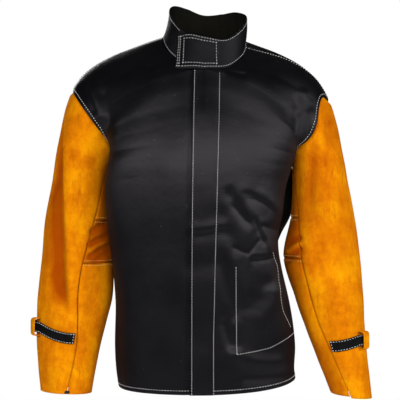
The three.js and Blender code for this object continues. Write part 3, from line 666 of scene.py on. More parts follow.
def across_at(surface, x, row, limit):
    """Shares across a panel, up to a limit, at which its rows are as far from the middle as x."""
    return place_of(np.abs(x), 0, limit, lambda place: np.abs(surface.base(place, row)[..., 0]))


def front_place(surface, x, z):
    """Shares across and up a front panel at which it is seen at x and z."""
    row = np.clip((z - HEM["front"]) / (neck_point(0)[2] - HEM["front"]) * NECK_ROW["front"], 0, 1)
    for _ in range(SEAT_TRIES):
        across = across_at(surface, x, row, 1)
        row = np.clip(row + (z - surface.base(across, row)[..., 2]) / WHOLE_PANEL_LENGTH, 0, 1)
    return across, row


# Meshes


def add_object(name, content):
    thing = bpy.data.objects.new(name, content)
    bpy.context.scene.collection.objects.link(thing)
    return thing


def place_piece(name, mesh):
    piece = add_object(name, mesh)
    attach(piece, BODY)
    return piece


def grid_normals(points, turned):
    along = np.gradient(points, axis=1)
    up = np.gradient(points, axis=0)
    return unit(np.cross(along, up)) * turned


def grid_faces(index):
    return np.stack([index[:-1, :-1], index[:-1, 1:], index[1:, 1:], index[1:, :-1]], -1).reshape(-1, 4)


def rim_faces(quads, count):
    """Faces from the outer wall to the inner one, along the edges that only one outer face has."""
    edges = np.concatenate([np.stack([quads[:, k], quads[:, (k + 1) % 4]], -1) for k in range(4)])
    there = edges[:, 0] * count + edges[:, 1]
    and_back = edges[:, 1] * count + edges[:, 0]
    start, end = edges[~np.isin(there, and_back)].T
    return np.stack([end, start, start + count, end + count], -1)


def numbered_grid(rows, columns, shared_rows):
    """Numbers of a grid's points, and its halves, which share their middle line in the shared rows."""
    index = np.arange(rows * columns).reshape(rows, columns)
    if not shared_rows:
        return index, [slice(None)]
    middle = columns // 2
    index[:shared_rows, middle - 1] = index[:shared_rows, middle]
    return index, [slice(None, middle), slice(middle, None)]


def set_point_values(mesh, cut, painted_shade):
    """Give each point its place on the flat cut as a UV, and how much painted shade darkens its colour."""
    corners = np.empty(len(mesh.loops), int)
    mesh.loops.foreach_get("vertex_index", corners)
    mesh.uv_layers.new(name="cut").data.foreach_set("uv", cut[corners].ravel())
    mesh.attributes.new("painted_shade", "FLOAT", "POINT").data.foreach_set("value", painted_shade)


def sheet_piece(name, outer, wall, turned, materials, depth=None, shared_rows=None):
    """A thin closed sheet under a grid of points on its outer face, in metres, with its cut's lengths as UVs.
    The first material is for the outer face and the rim, the second for the inner face. With shared_rows, the
    grid is two halves side by side, which share their middle line in that many rows and part above them."""
    rows, columns = outer.shape[:2]
    count = rows * columns
    index, halves = numbered_grid(rows, columns, shared_rows)
    normals = np.concatenate([grid_normals(outer[:, half], turned) for half in halves], axis=1)
    inner = outer - normals * np.broadcast_to(wall, (rows, columns))[..., None]
    quads = np.concatenate([grid_faces(index[:, half]) for half in halves])
    if turned < 0:
        quads = quads[:, ::-1]
    faces = np.concatenate([quads, quads[:, ::-1] + count, rim_faces(quads, count)])
    used, faces = np.unique(faces, return_inverse=True)
    faces = faces.reshape(-1, 4)
    points = (np.concatenate([outer.reshape(-1, 3), inner.reshape(-1, 3)]) * MM)[used]
    mesh = bpy.data.meshes.new(name)
    mesh.from_pydata(points.tolist(), [], faces.tolist())
    for material in materials:
        mesh.materials.append(material)
    if len(materials) > 1:
        slots = np.zeros(len(faces), int)
        slots[len(quads):2 * len(quads)] = 1
        mesh.polygons.foreach_set("material_index", slots)
    across = np.broadcast_to(lengths(outer[:shared_rows]).mean(axis=0), (rows, columns))
    up = np.broadcast_to(lengths(outer.swapaxes(0, 1)).mean(axis=0)[:, None], (rows, columns))
    cut = np.stack([across, up], -1).reshape(-1, 2) * MM
    # Painted shade in the leather's colour, from the depth given: the deeper, the darker
    painted_shade = np.zeros((rows, columns)) if depth is None else np.clip(-depth, 0, None)
    set_point_values(mesh, np.tile(cut, (2, 1))[used], np.tile(painted_shade.ravel(), 2)[used])
    mesh.shade_smooth()
    mesh.update()
    return place_piece(name, mesh)


def rolled_edges(points, normals, ends):
    """Leather turned down a little along its side edges, and along those of its ends that are sewn."""
    across = lengths(points)
    up = lengths(points.swapaxes(0, 1)).swapaxes(0, 1)
    away = np.minimum(across, across[:, -1:] - across)
    if ends[0]:
        away = np.minimum(away, up)
    if ends[1]:
        away = np.minimum(away, up[-1:] - up)
    return points - normals * (SEAM_ROLL * np.exp(-((away / SEAM_ROLL_REACH) ** 2)))[..., None]


# Materials

# Tones by noise value, and single colours
LINT_TONES = [(0.785, (0, 0, 0)), (0.81, (0.08, 0.08, 0.08))]
HIDE_TONES = [(0.38, (0.50, 0.11, 0.0005)), (0.49, (0.70, 0.2, 0.0008)), (0.61, (0.87, 0.345, 0.001))]
WEBBING_TONES = [(0.3, (0.002, 0.002, 0.0023)), (0.7, (0.005, 0.005, 0.0056))]
COTTON_SHINE = (0.98, 0.92, 1.0, 1)
SCUFF = (0.44, 0.085, 0.0004, 1)
# Red-brown of the painted shade in the leather's folds and on the sleeves' inner sides
PAINTED_SHADE_COLOUR = (0.36, 0.045, 0.0, 1)
LEATHER_SHEEN = (1.0, 0.45, 0.005, 1)
PALE_FLOOR = (0.86, 0.86, 0.86, 1)
WHITE = (1, 1, 1, 1)

TWILL_SLANT = (0, 0, math.radians(58))
STREAK_STRETCH = (1, 1, 0.3)
GLOSS_SPREAD = 0.05


def new_material(name):
    material = bpy.data.materials.new(name)
    material.use_nodes = True
    return material, material.node_tree, material.node_tree.nodes["Principled BSDF"]


def set_inputs(tree, node, inputs):
    """Link the inputs that are given as sockets, and set the others."""
    for key, value in inputs.items():
        if isinstance(value, bpy.types.NodeSocket):
            tree.links.new(value, node.inputs[key])
        else:
            node.inputs[key].default_value = value


def add_node(tree, kind, inputs=None, **settings):
    node = tree.nodes.new(kind)
    for key, value in settings.items():
        setattr(node, key, value)
    set_inputs(tree, node, inputs or {})
    return node


def colour_steps(tree, value, steps):
    node = add_node(tree, "ShaderNodeValToRGB", {"Fac": value})
    ramp_steps = node.color_ramp.elements
    while len(ramp_steps) < len(steps):
        ramp_steps.new(0.5)
    for element, (place, colour) in zip(ramp_steps, steps):
        element.position = place
        element.color = (*colour, 1)
    return node.outputs["Color"]


def noise(tree, where, scale, detail=3.0, roughness=0.55):
    inputs = {"Vector": where, "Scale": scale, "Detail": detail, "Roughness": roughness}
    return add_node(tree, "ShaderNodeTexNoise", inputs).outputs["Fac"]


def waves(tree, inputs, **settings):
    return add_node(tree, "ShaderNodeTexWave", inputs, **settings).outputs["Fac"]


def moved(tree, where, **settings):
    inputs = {"Vector": where, **settings}
    return add_node(tree, "ShaderNodeMapping", inputs).outputs["Vector"]


def ranged(tree, value, limits):
    return add_node(tree, "ShaderNodeMapRange", {"Value": value, **limits}).outputs["Result"]


def blend(tree, share, first, second, **settings):
    inputs = {"Factor": share, "A": first, "B": second}
    return add_node(tree, "ShaderNodeMix", inputs, **settings).outputs["Result"]


def bump(tree, height, strength, distance, over=None):
    inputs = {"Height": height, "Strength": strength, "Distance": distance}
    if over is not None:
        inputs["Normal"] = over
    return add_node(tree, "ShaderNodeBump", inputs).outputs["Normal"]


def black_cotton(name, dark, light, gloss, shine_level):
    """Sateen cotton: a fine slanted weave, a soft gloss, faint cloudiness and a few specks of lint."""
    material, tree, shader = new_material(name)
    where = add_node(tree, "ShaderNodeTexCoord").outputs
    clouds = noise(tree, where["Object"], 14)
    cloth = colour_steps(tree, clouds, [(0.35, dark), (0.7, light)])
    lint = colour_steps(tree, noise(tree, where["Object"], 260, 1.0), LINT_TONES)
    slant = moved(tree, where["UV"], Rotation=TWILL_SLANT)
    twill = waves(tree, {"Vector": slant, "Scale": 420, "Distortion": 0.6})
    creases = bump(tree, noise(tree, where["Object"], 38, 4.0, 0.6), 0.16, 0.004)
    gloss_limits = {"To Min": gloss - GLOSS_SPREAD, "To Max": gloss + GLOSS_SPREAD}
    floats = add_node(tree, "ShaderNodeTangent", direction_type="UV_MAP", uv_map="cut")
    set_inputs(tree, shader, {
        "Base Color": blend(tree, 1.0, cloth, lint, data_type="RGBA", blend_type="ADD"),
        "Normal": bump(tree, twill, 0.1, 0.0003, creases),
        "Roughness": ranged(tree, clouds, gloss_limits),
        "Specular IOR Level": shine_level, "Specular Tint": COTTON_SHINE,
        "Anisotropic": 0.75, "Tangent": floats.outputs["Tangent"],
    })
    return material


def gold_leather():
    """Napped split leather: golden orange and blotched, with painted shade in red-brown in its folds'
    valleys, towards the sleeves' inner sides and on some pieces.
    """
    material, tree, shader = new_material("gold_leather")
    where = add_node(tree, "ShaderNodeTexCoord").outputs["Object"]
    drawn = moved(tree, where, Scale=STREAK_STRETCH)
    tone = noise(tree, where, 15, 6.0, 0.62)
    nap = noise(tree, where, 520, 3.0, 0.7)
    marks = noise(tree, where, 62, 6.0, 0.7)
    streaks = noise(tree, drawn, 44, 4.0, 0.6)
    for share, layer in ((0.34, marks), (0.26, streaks), (0.14, nap)):
        tone = blend(tree, share, tone, layer, data_type="FLOAT")
    hide = colour_steps(tree, tone, HIDE_TONES)
    worn_patch = ranged(tree, noise(tree, where, 11, 2.0), {"From Min": 0.46, "From Max": 0.62})
    speck_limits = {"From Min": 0.52, "From Max": 0.74, "To Max": worn_patch}
    speck = ranged(tree, noise(tree, drawn, 95, 6.0, 0.75), speck_limits)
    scuffed = blend(tree, speck, hide, SCUFF, data_type="RGBA")
    # Painted shade: the leather is blended towards red-brown by the shade value set on each point
    painted_shade = add_node(tree, "ShaderNodeAttribute", attribute_name="painted_shade").outputs["Fac"]
    shade = ranged(tree, painted_shade, {"From Max": 11.0, "To Max": 0.85})
    rub = bump(tree, noise(tree, where, 70, 5.0, 0.65), 0.2, 0.003)
    set_inputs(tree, shader, {
        "Base Color": blend(tree, shade, scuffed, PAINTED_SHADE_COLOUR, data_type="RGBA"),
        "Normal": bump(tree, nap, 0.25, 0.0008, rub),
        "Roughness": 0.92, "Specular IOR Level": 0.03,
        "Sheen Weight": 0.2, "Sheen Roughness": 0.5, "Sheen Tint": LEATHER_SHEEN,
    })
    return material


def strap_webbing():
    """Close black webbing with fine ribs along its length."""
    material, tree, shader = new_material("strap_webbing")
    where = add_node(tree, "ShaderNodeTexCoord").outputs
    ribs = waves(tree, {"Vector": where["UV"], "Scale": 330, "Distortion": 0.8}, bands_direction="Y")
    set_inputs(tree, shader, {
        "Base Color": colour_steps(tree, noise(tree, where["Object"], 90), WEBBING_TONES),
        "Normal": bump(tree, ribs, 0.35, 0.0005),
        "Roughness": 0.75, "Specular IOR Level": 0.08,
    })
    return material


def sewing_thread(name, low, high):
    """Twisted thread, uneven in tone from stitch to stitch."""
    material, tree, shader = new_material(name)
    where = add_node(tree, "ShaderNodeTexCoord").outputs["Object"]
    twist = waves(tree, {"Vector": where, "Scale": 900}, bands_direction="DIAGONAL")
    set_inputs(tree, shader, {
        "Base Color": colour_steps(tree, noise(tree, where, 240, 1.0), [(0.35, low), (0.6, high)]),
        "Normal": bump(tree, twist, 0.3, 0.0002),
        "Roughness": 0.75,
    })
    return material


COTTON = black_cotton("black_cotton", (0.0024, 0.0024, 0.0029), (0.0044, 0.0042, 0.0054), 0.47, 0.19)
# The collar's cloth is the body's cotton given less shine and a slightly darker tone, a shaded copy: painted
# shade
SHADED_COLLAR_COTTON = black_cotton("shaded_collar_cotton", (0.0024, 0.0024, 0.0029), (0.0042, 0.004, 0.0054), 0.5, 0.13)
COLLAR_INSIDE = black_cotton("collar_inside", (0.003, 0.0031, 0.0018), (0.006, 0.0058, 0.0032), 0.85, 0.06)
LEATHER = gold_leather()
WEBBING = strap_webbing()
BLACK_THREAD = sewing_thread("black_thread", (0.002, 0.002, 0.002), (0.006, 0.006, 0.006))
WHITE_THREAD = sewing_thread("white_thread", (0.62, 0.62, 0.60), (0.92, 0.92, 0.89))
GOLD_THREAD = sewing_thread("gold_thread", (0.72, 0.40, 0.06), (0.95, 0.68, 0.22))


# Stitches

# First and last place of the long stitch lines, and their number of points
HEM_RUN = (0.01, 0.995, 160)
ARMHOLE_RUN = (PIT_ROW + 0.012, 0.995, 180)
SHOULDER_RUN = (0.02, 0.97, 120)
COLLAR_RUN = (40, COLLAR_END - 2.5, 400)
FLAP_RUN = (0.004, FLAP.columns["row"][-1] - 0.003, 330)

# Number of points of the short ones
LINE_POINTS = {"tab_end": 40, "tab_side": 50, "cross_seam": 60, "strap": 160, "strap_end": 16, "tack": 9}

# Where they lie: a row of the body, and millimetres from an edge or a cross seam
HEM_STITCH_ROW = 0.0108
ARMHOLE_STITCH = 7
SHOULDER_STITCH = 4
FLAP_STITCH = {"free": 4, "sewn": 2}
STRAP_STITCH = 2.4
CROSS_STITCHES = (-5.5, 4.5)

# Shares up the collar and degrees along it, and degrees kept free at the ends of stitch lines on the sleeves
COLLAR_STITCH = {"foot": 0.075, "top": 0.935}
TAB_END_TURNS = (396.8, 393.9)
TAB_FRAME = {"turns": (343.9, 388), "ups": (0.17, 0.85)}
SLEEVE_STITCH_MARGIN = 2
STRAP_END_MARGIN = 2.4

# Shares of a row and of a line up a panel at which the search for an inset starts, and its points
ROW_END_FROM = 0.7
PANEL_TOP_FROM = 0.88
INSET_POINTS = 61


def stitch_tree():
    """Stitches along the edges of a mesh of lines: one small rounded stitch at every pitch."""
    tree = bpy.data.node_groups.new("stitch_rows", "GeometryNodeTree")
    face = tree.interface
    face.new_socket("Geometry", in_out="INPUT", socket_type="NodeSocketGeometry")
    for name in ("Pitch", "Stitch Length", "Thread Width"):
        face.new_socket(name, in_out="INPUT", socket_type="NodeSocketFloat")
    face.new_socket("Thread", in_out="INPUT", socket_type="NodeSocketMaterial")
    face.new_socket("Geometry", in_out="OUTPUT", socket_type="NodeSocketGeometry")
    sizes = add_node(tree, "NodeGroupInput").outputs
    line = add_node(tree, "GeometryNodeMeshToCurve", {"Mesh": sizes["Geometry"]})
    marks = add_node(tree, "GeometryNodeResampleCurve", {
        "Curve": line.outputs["Curve"], "Length": sizes["Pitch"]}, mode="LENGTH")
    bead = add_node(tree, "GeometryNodeMeshUVSphere", {"Segments": 6, "Rings": 4, "Radius": 0.5})
    run = add_node(tree, "GeometryNodeInputTangent")
    turn = add_node(tree, "FunctionNodeAlignRotationToVector", {"Vector": run.outputs["Tangent"]}, axis="X")
    shape = add_node(tree, "ShaderNodeCombineXYZ", {
        "X": sizes["Stitch Length"], "Y": sizes["Thread Width"], "Z": sizes["Thread Width"]})
    rows = add_node(tree, "GeometryNodeInstanceOnPoints", {
        "Points": marks.outputs["Curve"], "Instance": bead.outputs["Mesh"],
        "Rotation": turn.outputs["Rotation"], "Scale": shape.outputs["Vector"]})
    real = add_node(tree, "GeometryNodeRealizeInstances", {"Geometry": rows.outputs["Instances"]})
    smooth = add_node(tree, "GeometryNodeSetShadeSmooth", {"Geometry": real.outputs["Geometry"]})
    dyed = add_node(tree, "GeometryNodeSetMaterial", {
        "Geometry": smooth.outputs["Geometry"], "Material": sizes["Thread"]})
    add_node(tree, "NodeGroupOutput", {"Geometry": dyed.outputs["Geometry"]})
    return tree


STITCHES = stitch_tree()


def stitch_piece(name, lines, thread, pitch=STITCH_PITCH):
    """One mesh of all stitches along some lines of points in millimetres."""
    points, edges = [], []
    for line in lines:
        first = len(points)
        points.extend((np.asarray(line) * MM).tolist())
        edges.extend((first + i, first + i + 1) for i in range(len(line) - 1))
    mesh = bpy.data.meshes.new(f"{name}_lines")
    mesh.from_pydata(points, edges, [])
    rows = add_object(f"{name}_rows", mesh)
    modifier = rows.modifiers.new("stitches", "NODES")
    modifier.node_group = STITCHES
    sizes = {"Pitch": pitch * MM, "Stitch Length": STITCH_LENGTH * MM, "Thread Width": THREAD_WIDTH * MM,
             "Thread": thread}
    for item in STITCHES.interface.items_tree:
        if item.in_out == "INPUT" and item.name in sizes:
            modifier[item.identifier] = sizes[item.name]
    evaluated = rows.evaluated_get(bpy.context.evaluated_depsgraph_get())
    sewn = bpy.data.meshes.new_from_object(evaluated)
    sewn.name = name
    rows.modifiers.remove(modifier)
    bpy.data.objects.remove(rows)
    bpy.data.meshes.remove(mesh)
    return place_piece(name, sewn)


def raised(points, normals):
    return points + normals * THREAD_RAISE


def evenly(line, step=PATH_STEP):
    """The same line with points at even steps."""
    line = np.asarray(line, float)
    run = lengths(line)
    places = np.linspace(0, run[-1], max(2, int(run[-1] / step) + 1))
    return np.stack([np.interp(places, run, line[:, k]) for k in range(line.shape[1])], -1)


def inset_places(points_at, start, distance):
    """Places on lines over a panel, between a start and 1, that are a distance short of the lines' ends."""
    places = np.linspace(start, 1, INSET_POINTS)
    run = lengths(points_at(places[None, :]))
    left = run[:, -1:] - run
    return np.array([np.interp(distance, one[::-1], places[::-1]) for one in left])


def hem_lines():
    across = np.linspace(*HEM_RUN)
    row = np.full_like(across, HEM_STITCH_ROW)
    return [raised(*surface.at(across, row)) for surface in BODY_HALVES]


def armhole_lines():
    row = np.linspace(*ARMHOLE_RUN)
    lines = []
    for surface in BODY_HALVES:
        across = inset_places(lambda place: surface.base(place, row[:, None]), ROW_END_FROM, ARMHOLE_STITCH)
        lines.append(raised(*surface.at(across, row)))
    return lines


def shoulder_lines():
    across = np.linspace(*SHOULDER_RUN)
    lines = []
    for surface in FRONTS.values():
        row = inset_places(lambda place: surface.base(across[:, None], place),
                           PANEL_TOP_FROM, SHOULDER_STITCH)
        lines.append(raised(*surface.at(across, row)))
    return lines


def collar_lines():
    """Rows along the collar's foot and top, two at the end of its tab, and a frame on the tab."""
    turns = np.linspace(*COLLAR_RUN)
    lines = [raised(*COLLAR_AT(turns, COLLAR_STITCH[edge])) for edge in ("foot", "top")]
    ups = np.linspace(COLLAR_STITCH["foot"], COLLAR_STITCH["top"], LINE_POINTS["tab_end"])
    lines += [raised(*COLLAR_AT(turn, ups)) for turn in TAB_END_TURNS]
    (first, last), (low, high) = TAB_FRAME["turns"], TAB_FRAME["ups"]
    corners = [(first, low), (last, low), (last, high), (first, high), (first, low)]
    share = np.linspace(0, 1, LINE_POINTS["tab_side"])
    for (turn_a, up_a), (turn_b, up_b) in zip(corners, corners[1:]):
        lines.append(raised(*COLLAR_AT(mix(turn_a, turn_b, share), mix(up_a, up_b, share))))
    return lines


def pocket_lines():
    surface = FRONTS["left"]
    mouth = evenly(POCKET_MOUTH_LINE)
    run = unit(np.gradient(mouth, axis=0))
    inset = mouth + np.stack([run[:, 1], -run[:, 0]], -1) * MOUTH_STITCH_INSET
    seen = [evenly(POCKET_SIDE_LINE), evenly(POCKET_LOW_LINE), inset]
    return [raised(*surface.at(*front_place(surface, *line.T))) for line in seen]


def flap_lines():
    row = np.linspace(*FLAP_RUN)
    width = FLAP.read("left", row) - FLAP.read("right", row)
    shares = (FLAP_STITCH["free"] / width, 1 - FLAP_STITCH["sewn"] / width)
    return [raised(*flap_at(share, row)) for share in shares]


def cross_seam_lines(side):
    lines = []
    for seam in CROSS_SEAMS[side]:
        for offset in CROSS_STITCHES:
            along = seam + offset / SLEEVE_LENGTH
            first = SLEEVES[side].read("seam", along) + SLEEVE_STITCH_MARGIN
            last = BACK_SLEEVE_SEAM - SLEEVE_STITCH_MARGIN
            angle = np.linspace(first, last, LINE_POINTS["cross_seam"])
            lines.append(raised(*SLEEVE_AT[side](angle, along)))
    return lines


def strap_lines(side):
    edge = 0.5 - STRAP_STITCH / STRAP_WIDTH
    front = STRAP_FRONT_ANGLE[side] - STRAP_END_MARGIN
    angle = np.linspace(STRAP_BACK_ANGLE + SLEEVE_STITCH_MARGIN, front, LINE_POINTS["strap"])
    lines = [raised(*strap_at(side, angle, across)) for across in (-edge, edge)]
    end = np.linspace(-edge, edge, LINE_POINTS["strap_end"])
    return lines + [raised(*strap_at(side, front, end))]


def tack_lines():
    """Black thread rows across the end of the right sleeve's front seam, shorter at the top and foot."""
    sleeve = SLEEVES["right"]
    lines = []
    for row in np.linspace(-1, 1, TACK_ROWS):
        along = TACK_ALONG + row * TACK_HEIGHT / 2 / SLEEVE_LENGTH
        half = TACK_WIDTH / 2 * math.sqrt(TACK_ROUNDING - row * row)
        turn = np.degrees(half / sleeve.read("depth", along))
        angle = sleeve.read("seam", along) + np.linspace(-turn, turn, LINE_POINTS["tack"])
        lines.append(raised(*SLEEVE_AT["right"](angle, along)))
    return lines


# Pieces


def front_panel(side):
    surface = FRONTS[side]
    across = np.linspace(2 * BODY_EDGE, 1 - BODY_EDGE, STEPS["front_across"] + 1)[None, :]
    row = np.linspace(0, 1 - ROW_EDGE, STEPS["front_rows"] + 1)[:, None]
    points, _ = surface.at(across, row)
    return sheet_piece(f"front_{side}_panel", points, COTTON_WALL, surface.turned, [COTTON])


def back_panel():
    """The back in one piece: its halves share the centre line up to the neck seam and part round the neck."""
    across = np.linspace(0, 1 - BODY_EDGE, STEPS["back_half"] + 1)[None, :]
    row = np.linspace(0, 1 - ROW_EDGE, STEPS["back_rows"] + 1)[:, None]
    right, left = (BACKS[side].at(across, row)[0] for side in SIDES)
    points = np.concatenate([right[:, ::-1], left], axis=1)
    shared_rows = int(np.count_nonzero(row <= NECK_ROW["back"]))
    return sheet_piece("back_panel", points, COTTON_WALL, BACKS["left"].turned, [COTTON], None, shared_rows)


def collar_band():
    turn = np.linspace(0, COLLAR_END, STEPS["collar_around"] + 1)[None, :]
    up = np.linspace(0, 1, STEPS["collar_up"] + 1)[:, None]
    points, _ = COLLAR_AT(turn, up)
    return sheet_piece("collar_band", points, COLLAR_WALL, -1, [SHADED_COLLAR_COTTON, COLLAR_INSIDE])


def flap_at(share, row):
    """Outer face of the storm flap by share of its width, which lies close at its sewn left edge."""
    share, row = np.broadcast_arrays(share, row)
    x = mix(FLAP.read("right", row), FLAP.read("left", row), share)
    points = np.empty(share.shape + (3,))
    normals = np.empty_like(points)
    for side, here in (("right", x < 0), ("left", x >= 0)):
        surface = FRONTS[side]
        across = across_at(surface, x[here], row[here], NEAR_CENTRE)
        points[here], normals[here] = surface.at(across, row[here])
    sewn = ramp(share, *FLAP_SEWN_SHARES)
    free = 1 - ramp(share, 0, FLAP_FREE_SHARE)
    height = mix(LAYER_GAP + FLAP_WALL, SEWN_GAP + SEWN_FLAP_WALL, sewn) + FLAP_LIFT * free
    return points + normals * height[..., None], normals


def storm_flap():
    share = np.linspace(0, 1, STEPS["flap_across"] + 1)[None, :]
    row = np.linspace(0, FLAP.columns["row"][-1], STEPS["flap_rows"] + 1)[:, None]
    points, _ = flap_at(share, row)
    wall = mix(FLAP_WALL, SEWN_FLAP_WALL, ramp(share, *FLAP_SEWN_SHARES))
    return sheet_piece("storm_flap_strip", points, wall, 1, [COTTON])


def pocket_bag():
    surface = FRONTS["left"]
    share = np.linspace(0, 1, STEPS["pocket_across"] + 1)[None, :]
    up = np.linspace(0, 1, STEPS["pocket_rows"] + 1)[:, None]
    z = mix(mix(POCKET_LOW_Z, POCKET_LOW_OUTER_Z, share), POCKET_TOP_Z, up)
    row = place_of(z, 0, NECK_ROW["front"], lambda place: row_start("front", "left", place)[..., 2])
    inner = across_at(surface, np.full(row.shape, POCKET_INNER_X), row, NEAR_CENTRE)
    points, normals = surface.at(mix(inner, POCKET_OUTER_ACROSS, share), row)
    gap = mix(POCKET_GAP_EDGE, POCKET_GAP_MIDDLE, np.sin(np.pi * share) * np.sin(np.pi * up))
    inside = points - normals * (COTTON_WALL + gap)[..., None]
    return sheet_piece("pocket_bag_cloth", inside, POCKET_WALL, surface.turned, [COTTON])


def seam_turn(side, along):
    """Half the gap at the front sleeve seam in degrees, wider in the notch at the cuff."""
    degrees_per_mm = 180 / math.pi / SLEEVES[side].read("depth", along)
    return SEAM_TURN + NOTCH_WIDTH[side] * degrees_per_mm * np.exp(-(((1 - along) / NOTCH_LENGTH) ** 2)) / 2


def leather_panel(name, side, from_angle, to_angle, around, start, end, ends, shade):
    rows = max(STEPS["fewest_sleeve_rows"], round(STEPS["sleeve_rows"] * (end - start)))
    along = np.linspace(start, end, rows + 1)[:, None]
    share = np.linspace(0, 1, around + 1)[None, :]
    angle = mix(from_angle(along), to_angle(along), share)
    points, normals = SLEEVE_AT[side](angle, along)
    # This depth is painted shade, not shape: darker in the folds' valleys, towards the inner side and by
    # piece
    facing = ramp(-normals[..., 1], FOLD_FACING_NONE, FOLD_FACING_FULL)
    depth = facing * fold_depth(SLEEVE_FOLDS, points[..., 0], points[..., 2])
    depth = depth - UNDER_SHADE * ramp(angle, *UNDER_SHADE_ANGLES) - shade
    points = rolled_edges(points, normals, ends)
    return sheet_piece(name, points, LEATHER_WALL, SIGN[side], [LEATHER], depth)


def top_sleeve(side):
    return leather_panel(
        f"{side}_top_sleeve_panel", side,
        lambda along: np.full(along.shape, BACK_SLEEVE_SEAM - 360 + SEAM_TURN),
        lambda along: SLEEVES[side].read("seam", along) - seam_turn(side, along),
        STEPS["top_sleeve"], 0, 1, (False, False), 0)


def under_sleeve(side, piece):
    cuts = (0, *CROSS_SEAMS[side], UNDER_SLEEVE_END[side])
    start = cuts[piece] + (ALONG_EDGE if piece > 0 else 0)
    end = cuts[piece + 1] - (ALONG_EDGE if piece < 2 else 0)
    return leather_panel(
        f"{side}_under_sleeve_{UNDER_SLEEVE_PIECES[piece]}_panel", side,
        lambda along: SLEEVES[side].read("seam", along) + seam_turn(side, along),
        lambda along: np.full(along.shape, BACK_SLEEVE_SEAM - SEAM_TURN),
        STEPS["under_sleeve"], start, end, (piece > 0, piece < 2), PIECE_SHADE[side][piece])


def strap_at(side, angle, across):
    """Outer face of a cuff strap by angle round the sleeve and share across it, raised at the keeper."""
    angle, across = np.broadcast_arrays(angle, across)
    level = KEEPER_ANGLE[side] + STRAP_LEVEL_ANGLE
    share = np.clip((angle - level) / (STRAP_FRONT_ANGLE[side] - level), 0, 1)
    along = mix(KEEPER_ALONG[side], STRAP_FRONT_ALONG[side], np.sin(np.pi / 2 * share))
    along = along + across * STRAP_WIDTH / SLEEVE_LENGTH
    points, normals = SLEEVE_AT[side](angle, along)
    rise = STRAP_RISE * np.exp(-(((angle - KEEPER_ANGLE[side]) / STRAP_RISE_ANGLE) ** 2))
    return points + normals * (STRAP_GAP + STRAP_WALL + rise)[..., None], normals


def cuff_strap(side):
    angle = np.linspace(STRAP_BACK_ANGLE, STRAP_FRONT_ANGLE[side], STEPS["strap_around"] + 1)[None, :]
    across = np.linspace(-0.5, 0.5, STEPS["strap_across"] + 1)[:, None]
    points, _ = strap_at(side, angle, across)
    return sheet_piece(f"{side}_cuff_strap_band", points, STRAP_WALL, SIGN[side], [WEBBING])


def strap_keeper(side):
    """A leather loop over the strap near the sleeve's outer edge, turned a little to the front."""
    foot, out = SLEEVE_AT[side](np.array(KEEPER_ANGLE[side]), np.array(KEEPER_ALONG[side]))
    out = unit(out * np.array([1, 1, 0]))
    forward = np.array([out[1], -out[0], 0]) * SIGN[side]
    half = KEEPER_HEIGHT / 2
    turn = np.radians(np.linspace(90, 0, KEEPER_BEND_POINTS))
    bends = []
    for top in (1, -1):
        bend = np.stack([KEEPER_REACH - KEEPER_CORNER * (1 - np.cos(turn)),
                         top * (half - KEEPER_CORNER * (1 - np.sin(turn)))], -1)
        bends.append(bend[::top])
    path = evenly(np.concatenate([[(KEEPER_FOOT, half)], *bends, [(KEEPER_FOOT, -half)]]), KEEPER_STEP)
    widths = np.linspace(0.5, -0.5, STEPS["keeper_across"] + 1) * KEEPER_WIDTH
    points = foot + path[:, None, :1] * out + widths[None, :, None] * forward
    points[..., 2] += path[:, None, 1]
    return sheet_piece(f"{side}_strap_keeper_loop", points, KEEPER_WALL, SIGN[side], [LEATHER])


def declare(piece, node):
    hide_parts(node)


def build_body():
    hem, armhole, shoulder, pocket, flap, collar = (
        stitch_piece(f"{place}_stitches", lines(), WHITE_THREAD) for place, lines in (
            ("hem", hem_lines), ("armhole", armhole_lines), ("shoulder", shoulder_lines),
            ("pocket", pocket_lines), ("flap", flap_lines), ("collar", collar_lines)))
    declare(front_panel("right"), "front_right")
    declare(front_panel("left"), "front_left")
    declare(back_panel(), "back")
    declare(collar_band(), "collar")
    declare(storm_flap(), "storm_flap")
    declare(pocket_bag(), "pocket_bag")


def build_sleeve(side):
    cross = stitch_piece(f"{side}_cross_seam_stitches", cross_seam_lines(side), GOLD_THREAD)
    strap = stitch_piece(f"{side}_strap_stitches", strap_lines(side), WHITE_THREAD)
    tack = [stitch_piece("seam_tack", tack_lines(), BLACK_THREAD, TACK_PITCH)] if side == "right" else []
    declare(top_sleeve(side), f"{side}_top_sleeve")
    for piece, part in enumerate(UNDER_SLEEVE_PIECES):
        declare(under_sleeve(side, piece), f"{side}_under_sleeve_{part}")
    declare(cuff_strap(side), f"{side}_cuff_strap")
    declare(strap_keeper(side), f"{side}_strap_keeper")


# Studio, in metres

FLOOR_HALF = 1.8
FLOOR_Z = -1.3
SURROUND_STRENGTH = 0.045
LIGHT_TARGET = (0, 0, -0.3)

# Name, place, width and height, and power of each soft light
LIGHTS = [
    ("front_light", (0, -3.0, 0.42), (3.0, 0.8), 68),
    ("right_light", (2.5, -1.7, 0.35), (1.8, 0.4), 48),
    ("left_light", (-2.2, -2.1, 0.35), (1.8, 0.4), 25),
    ("back_light", (-0.8, 2.6, 0.6), (1.6, 1.6), 40),
]


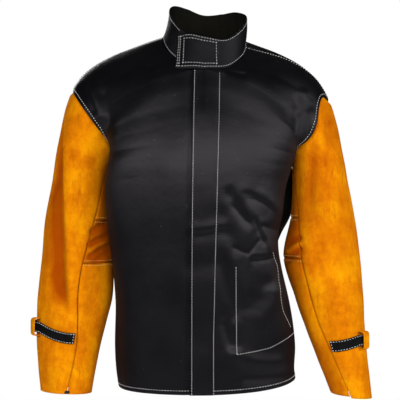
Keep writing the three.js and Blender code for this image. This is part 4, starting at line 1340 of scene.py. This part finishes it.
def aim(place, target):
    direction = np.array(target, float) - np.array(place, float)
    flat = math.hypot(direction[0], direction[1])
    return math.atan2(flat, -direction[2]), 0, math.atan2(-direction[0], direction[1])


def soft_light(name, place, size, power):
    lamp = bpy.data.lights.new(name, "AREA")
    lamp.shape = "RECTANGLE"
    lamp.size, lamp.size_y = size
    lamp.energy = power
    light = add_object(name, lamp)
    light.location = place
    light.rotation_euler = aim(place, LIGHT_TARGET)


def camera():
    lens = bpy.data.cameras.new("camera")
    lens.sensor_width = SENSOR_WIDTH
    lens.lens = SENSOR_WIDTH * -CAMERA_PLACE[1] / SEEN_WIDTH
    view = add_object("camera", lens)
    view.location = CAMERA_PLACE
    view.rotation_euler = (math.radians(90), 0, 0)
    bpy.context.scene.camera = view


def white_room():
    """A faint light from all round, which the camera sees as white."""
    world = bpy.data.worlds.new("white_room")
    world.use_nodes = True
    tree = world.node_tree
    surround = tree.nodes["Background"]
    set_inputs(tree, surround, {"Color": WHITE, "Strength": SURROUND_STRENGTH})
    white = add_node(tree, "ShaderNodeBackground", {"Color": WHITE, "Strength": 1.0})
    path = add_node(tree, "ShaderNodeLightPath")
    both = add_node(tree, "ShaderNodeMixShader", {
        0: path.outputs["Is Camera Ray"], 1: surround.outputs["Background"], 2: white.outputs["Background"]})
    set_inputs(tree, tree.nodes["World Output"], {"Surface": both.outputs["Shader"]})
    bpy.context.scene.world = world


def pale_floor():
    mesh = bpy.data.meshes.new("floor")
    corners = [(x * FLOOR_HALF, y * FLOOR_HALF, FLOOR_Z) for x, y in ((-1, -1), (1, -1), (1, 1), (-1, 1))]
    mesh.from_pydata(corners, [], [(0, 1, 2, 3)])
    paint, tree, shader = new_material("pale_floor")
    set_inputs(tree, shader, {"Base Color": PALE_FLOOR, "Roughness": 0.8})
    mesh.materials.append(paint)
    floor = add_object("floor", mesh)


def studio():
    bpy.context.scene.view_settings.view_transform = "Standard"
    white_room()
    pale_floor()
    for light in LIGHTS:
        soft_light(*light)


camera()
build_body()
for side in SIDES:
    build_sleeve(side)
studio()
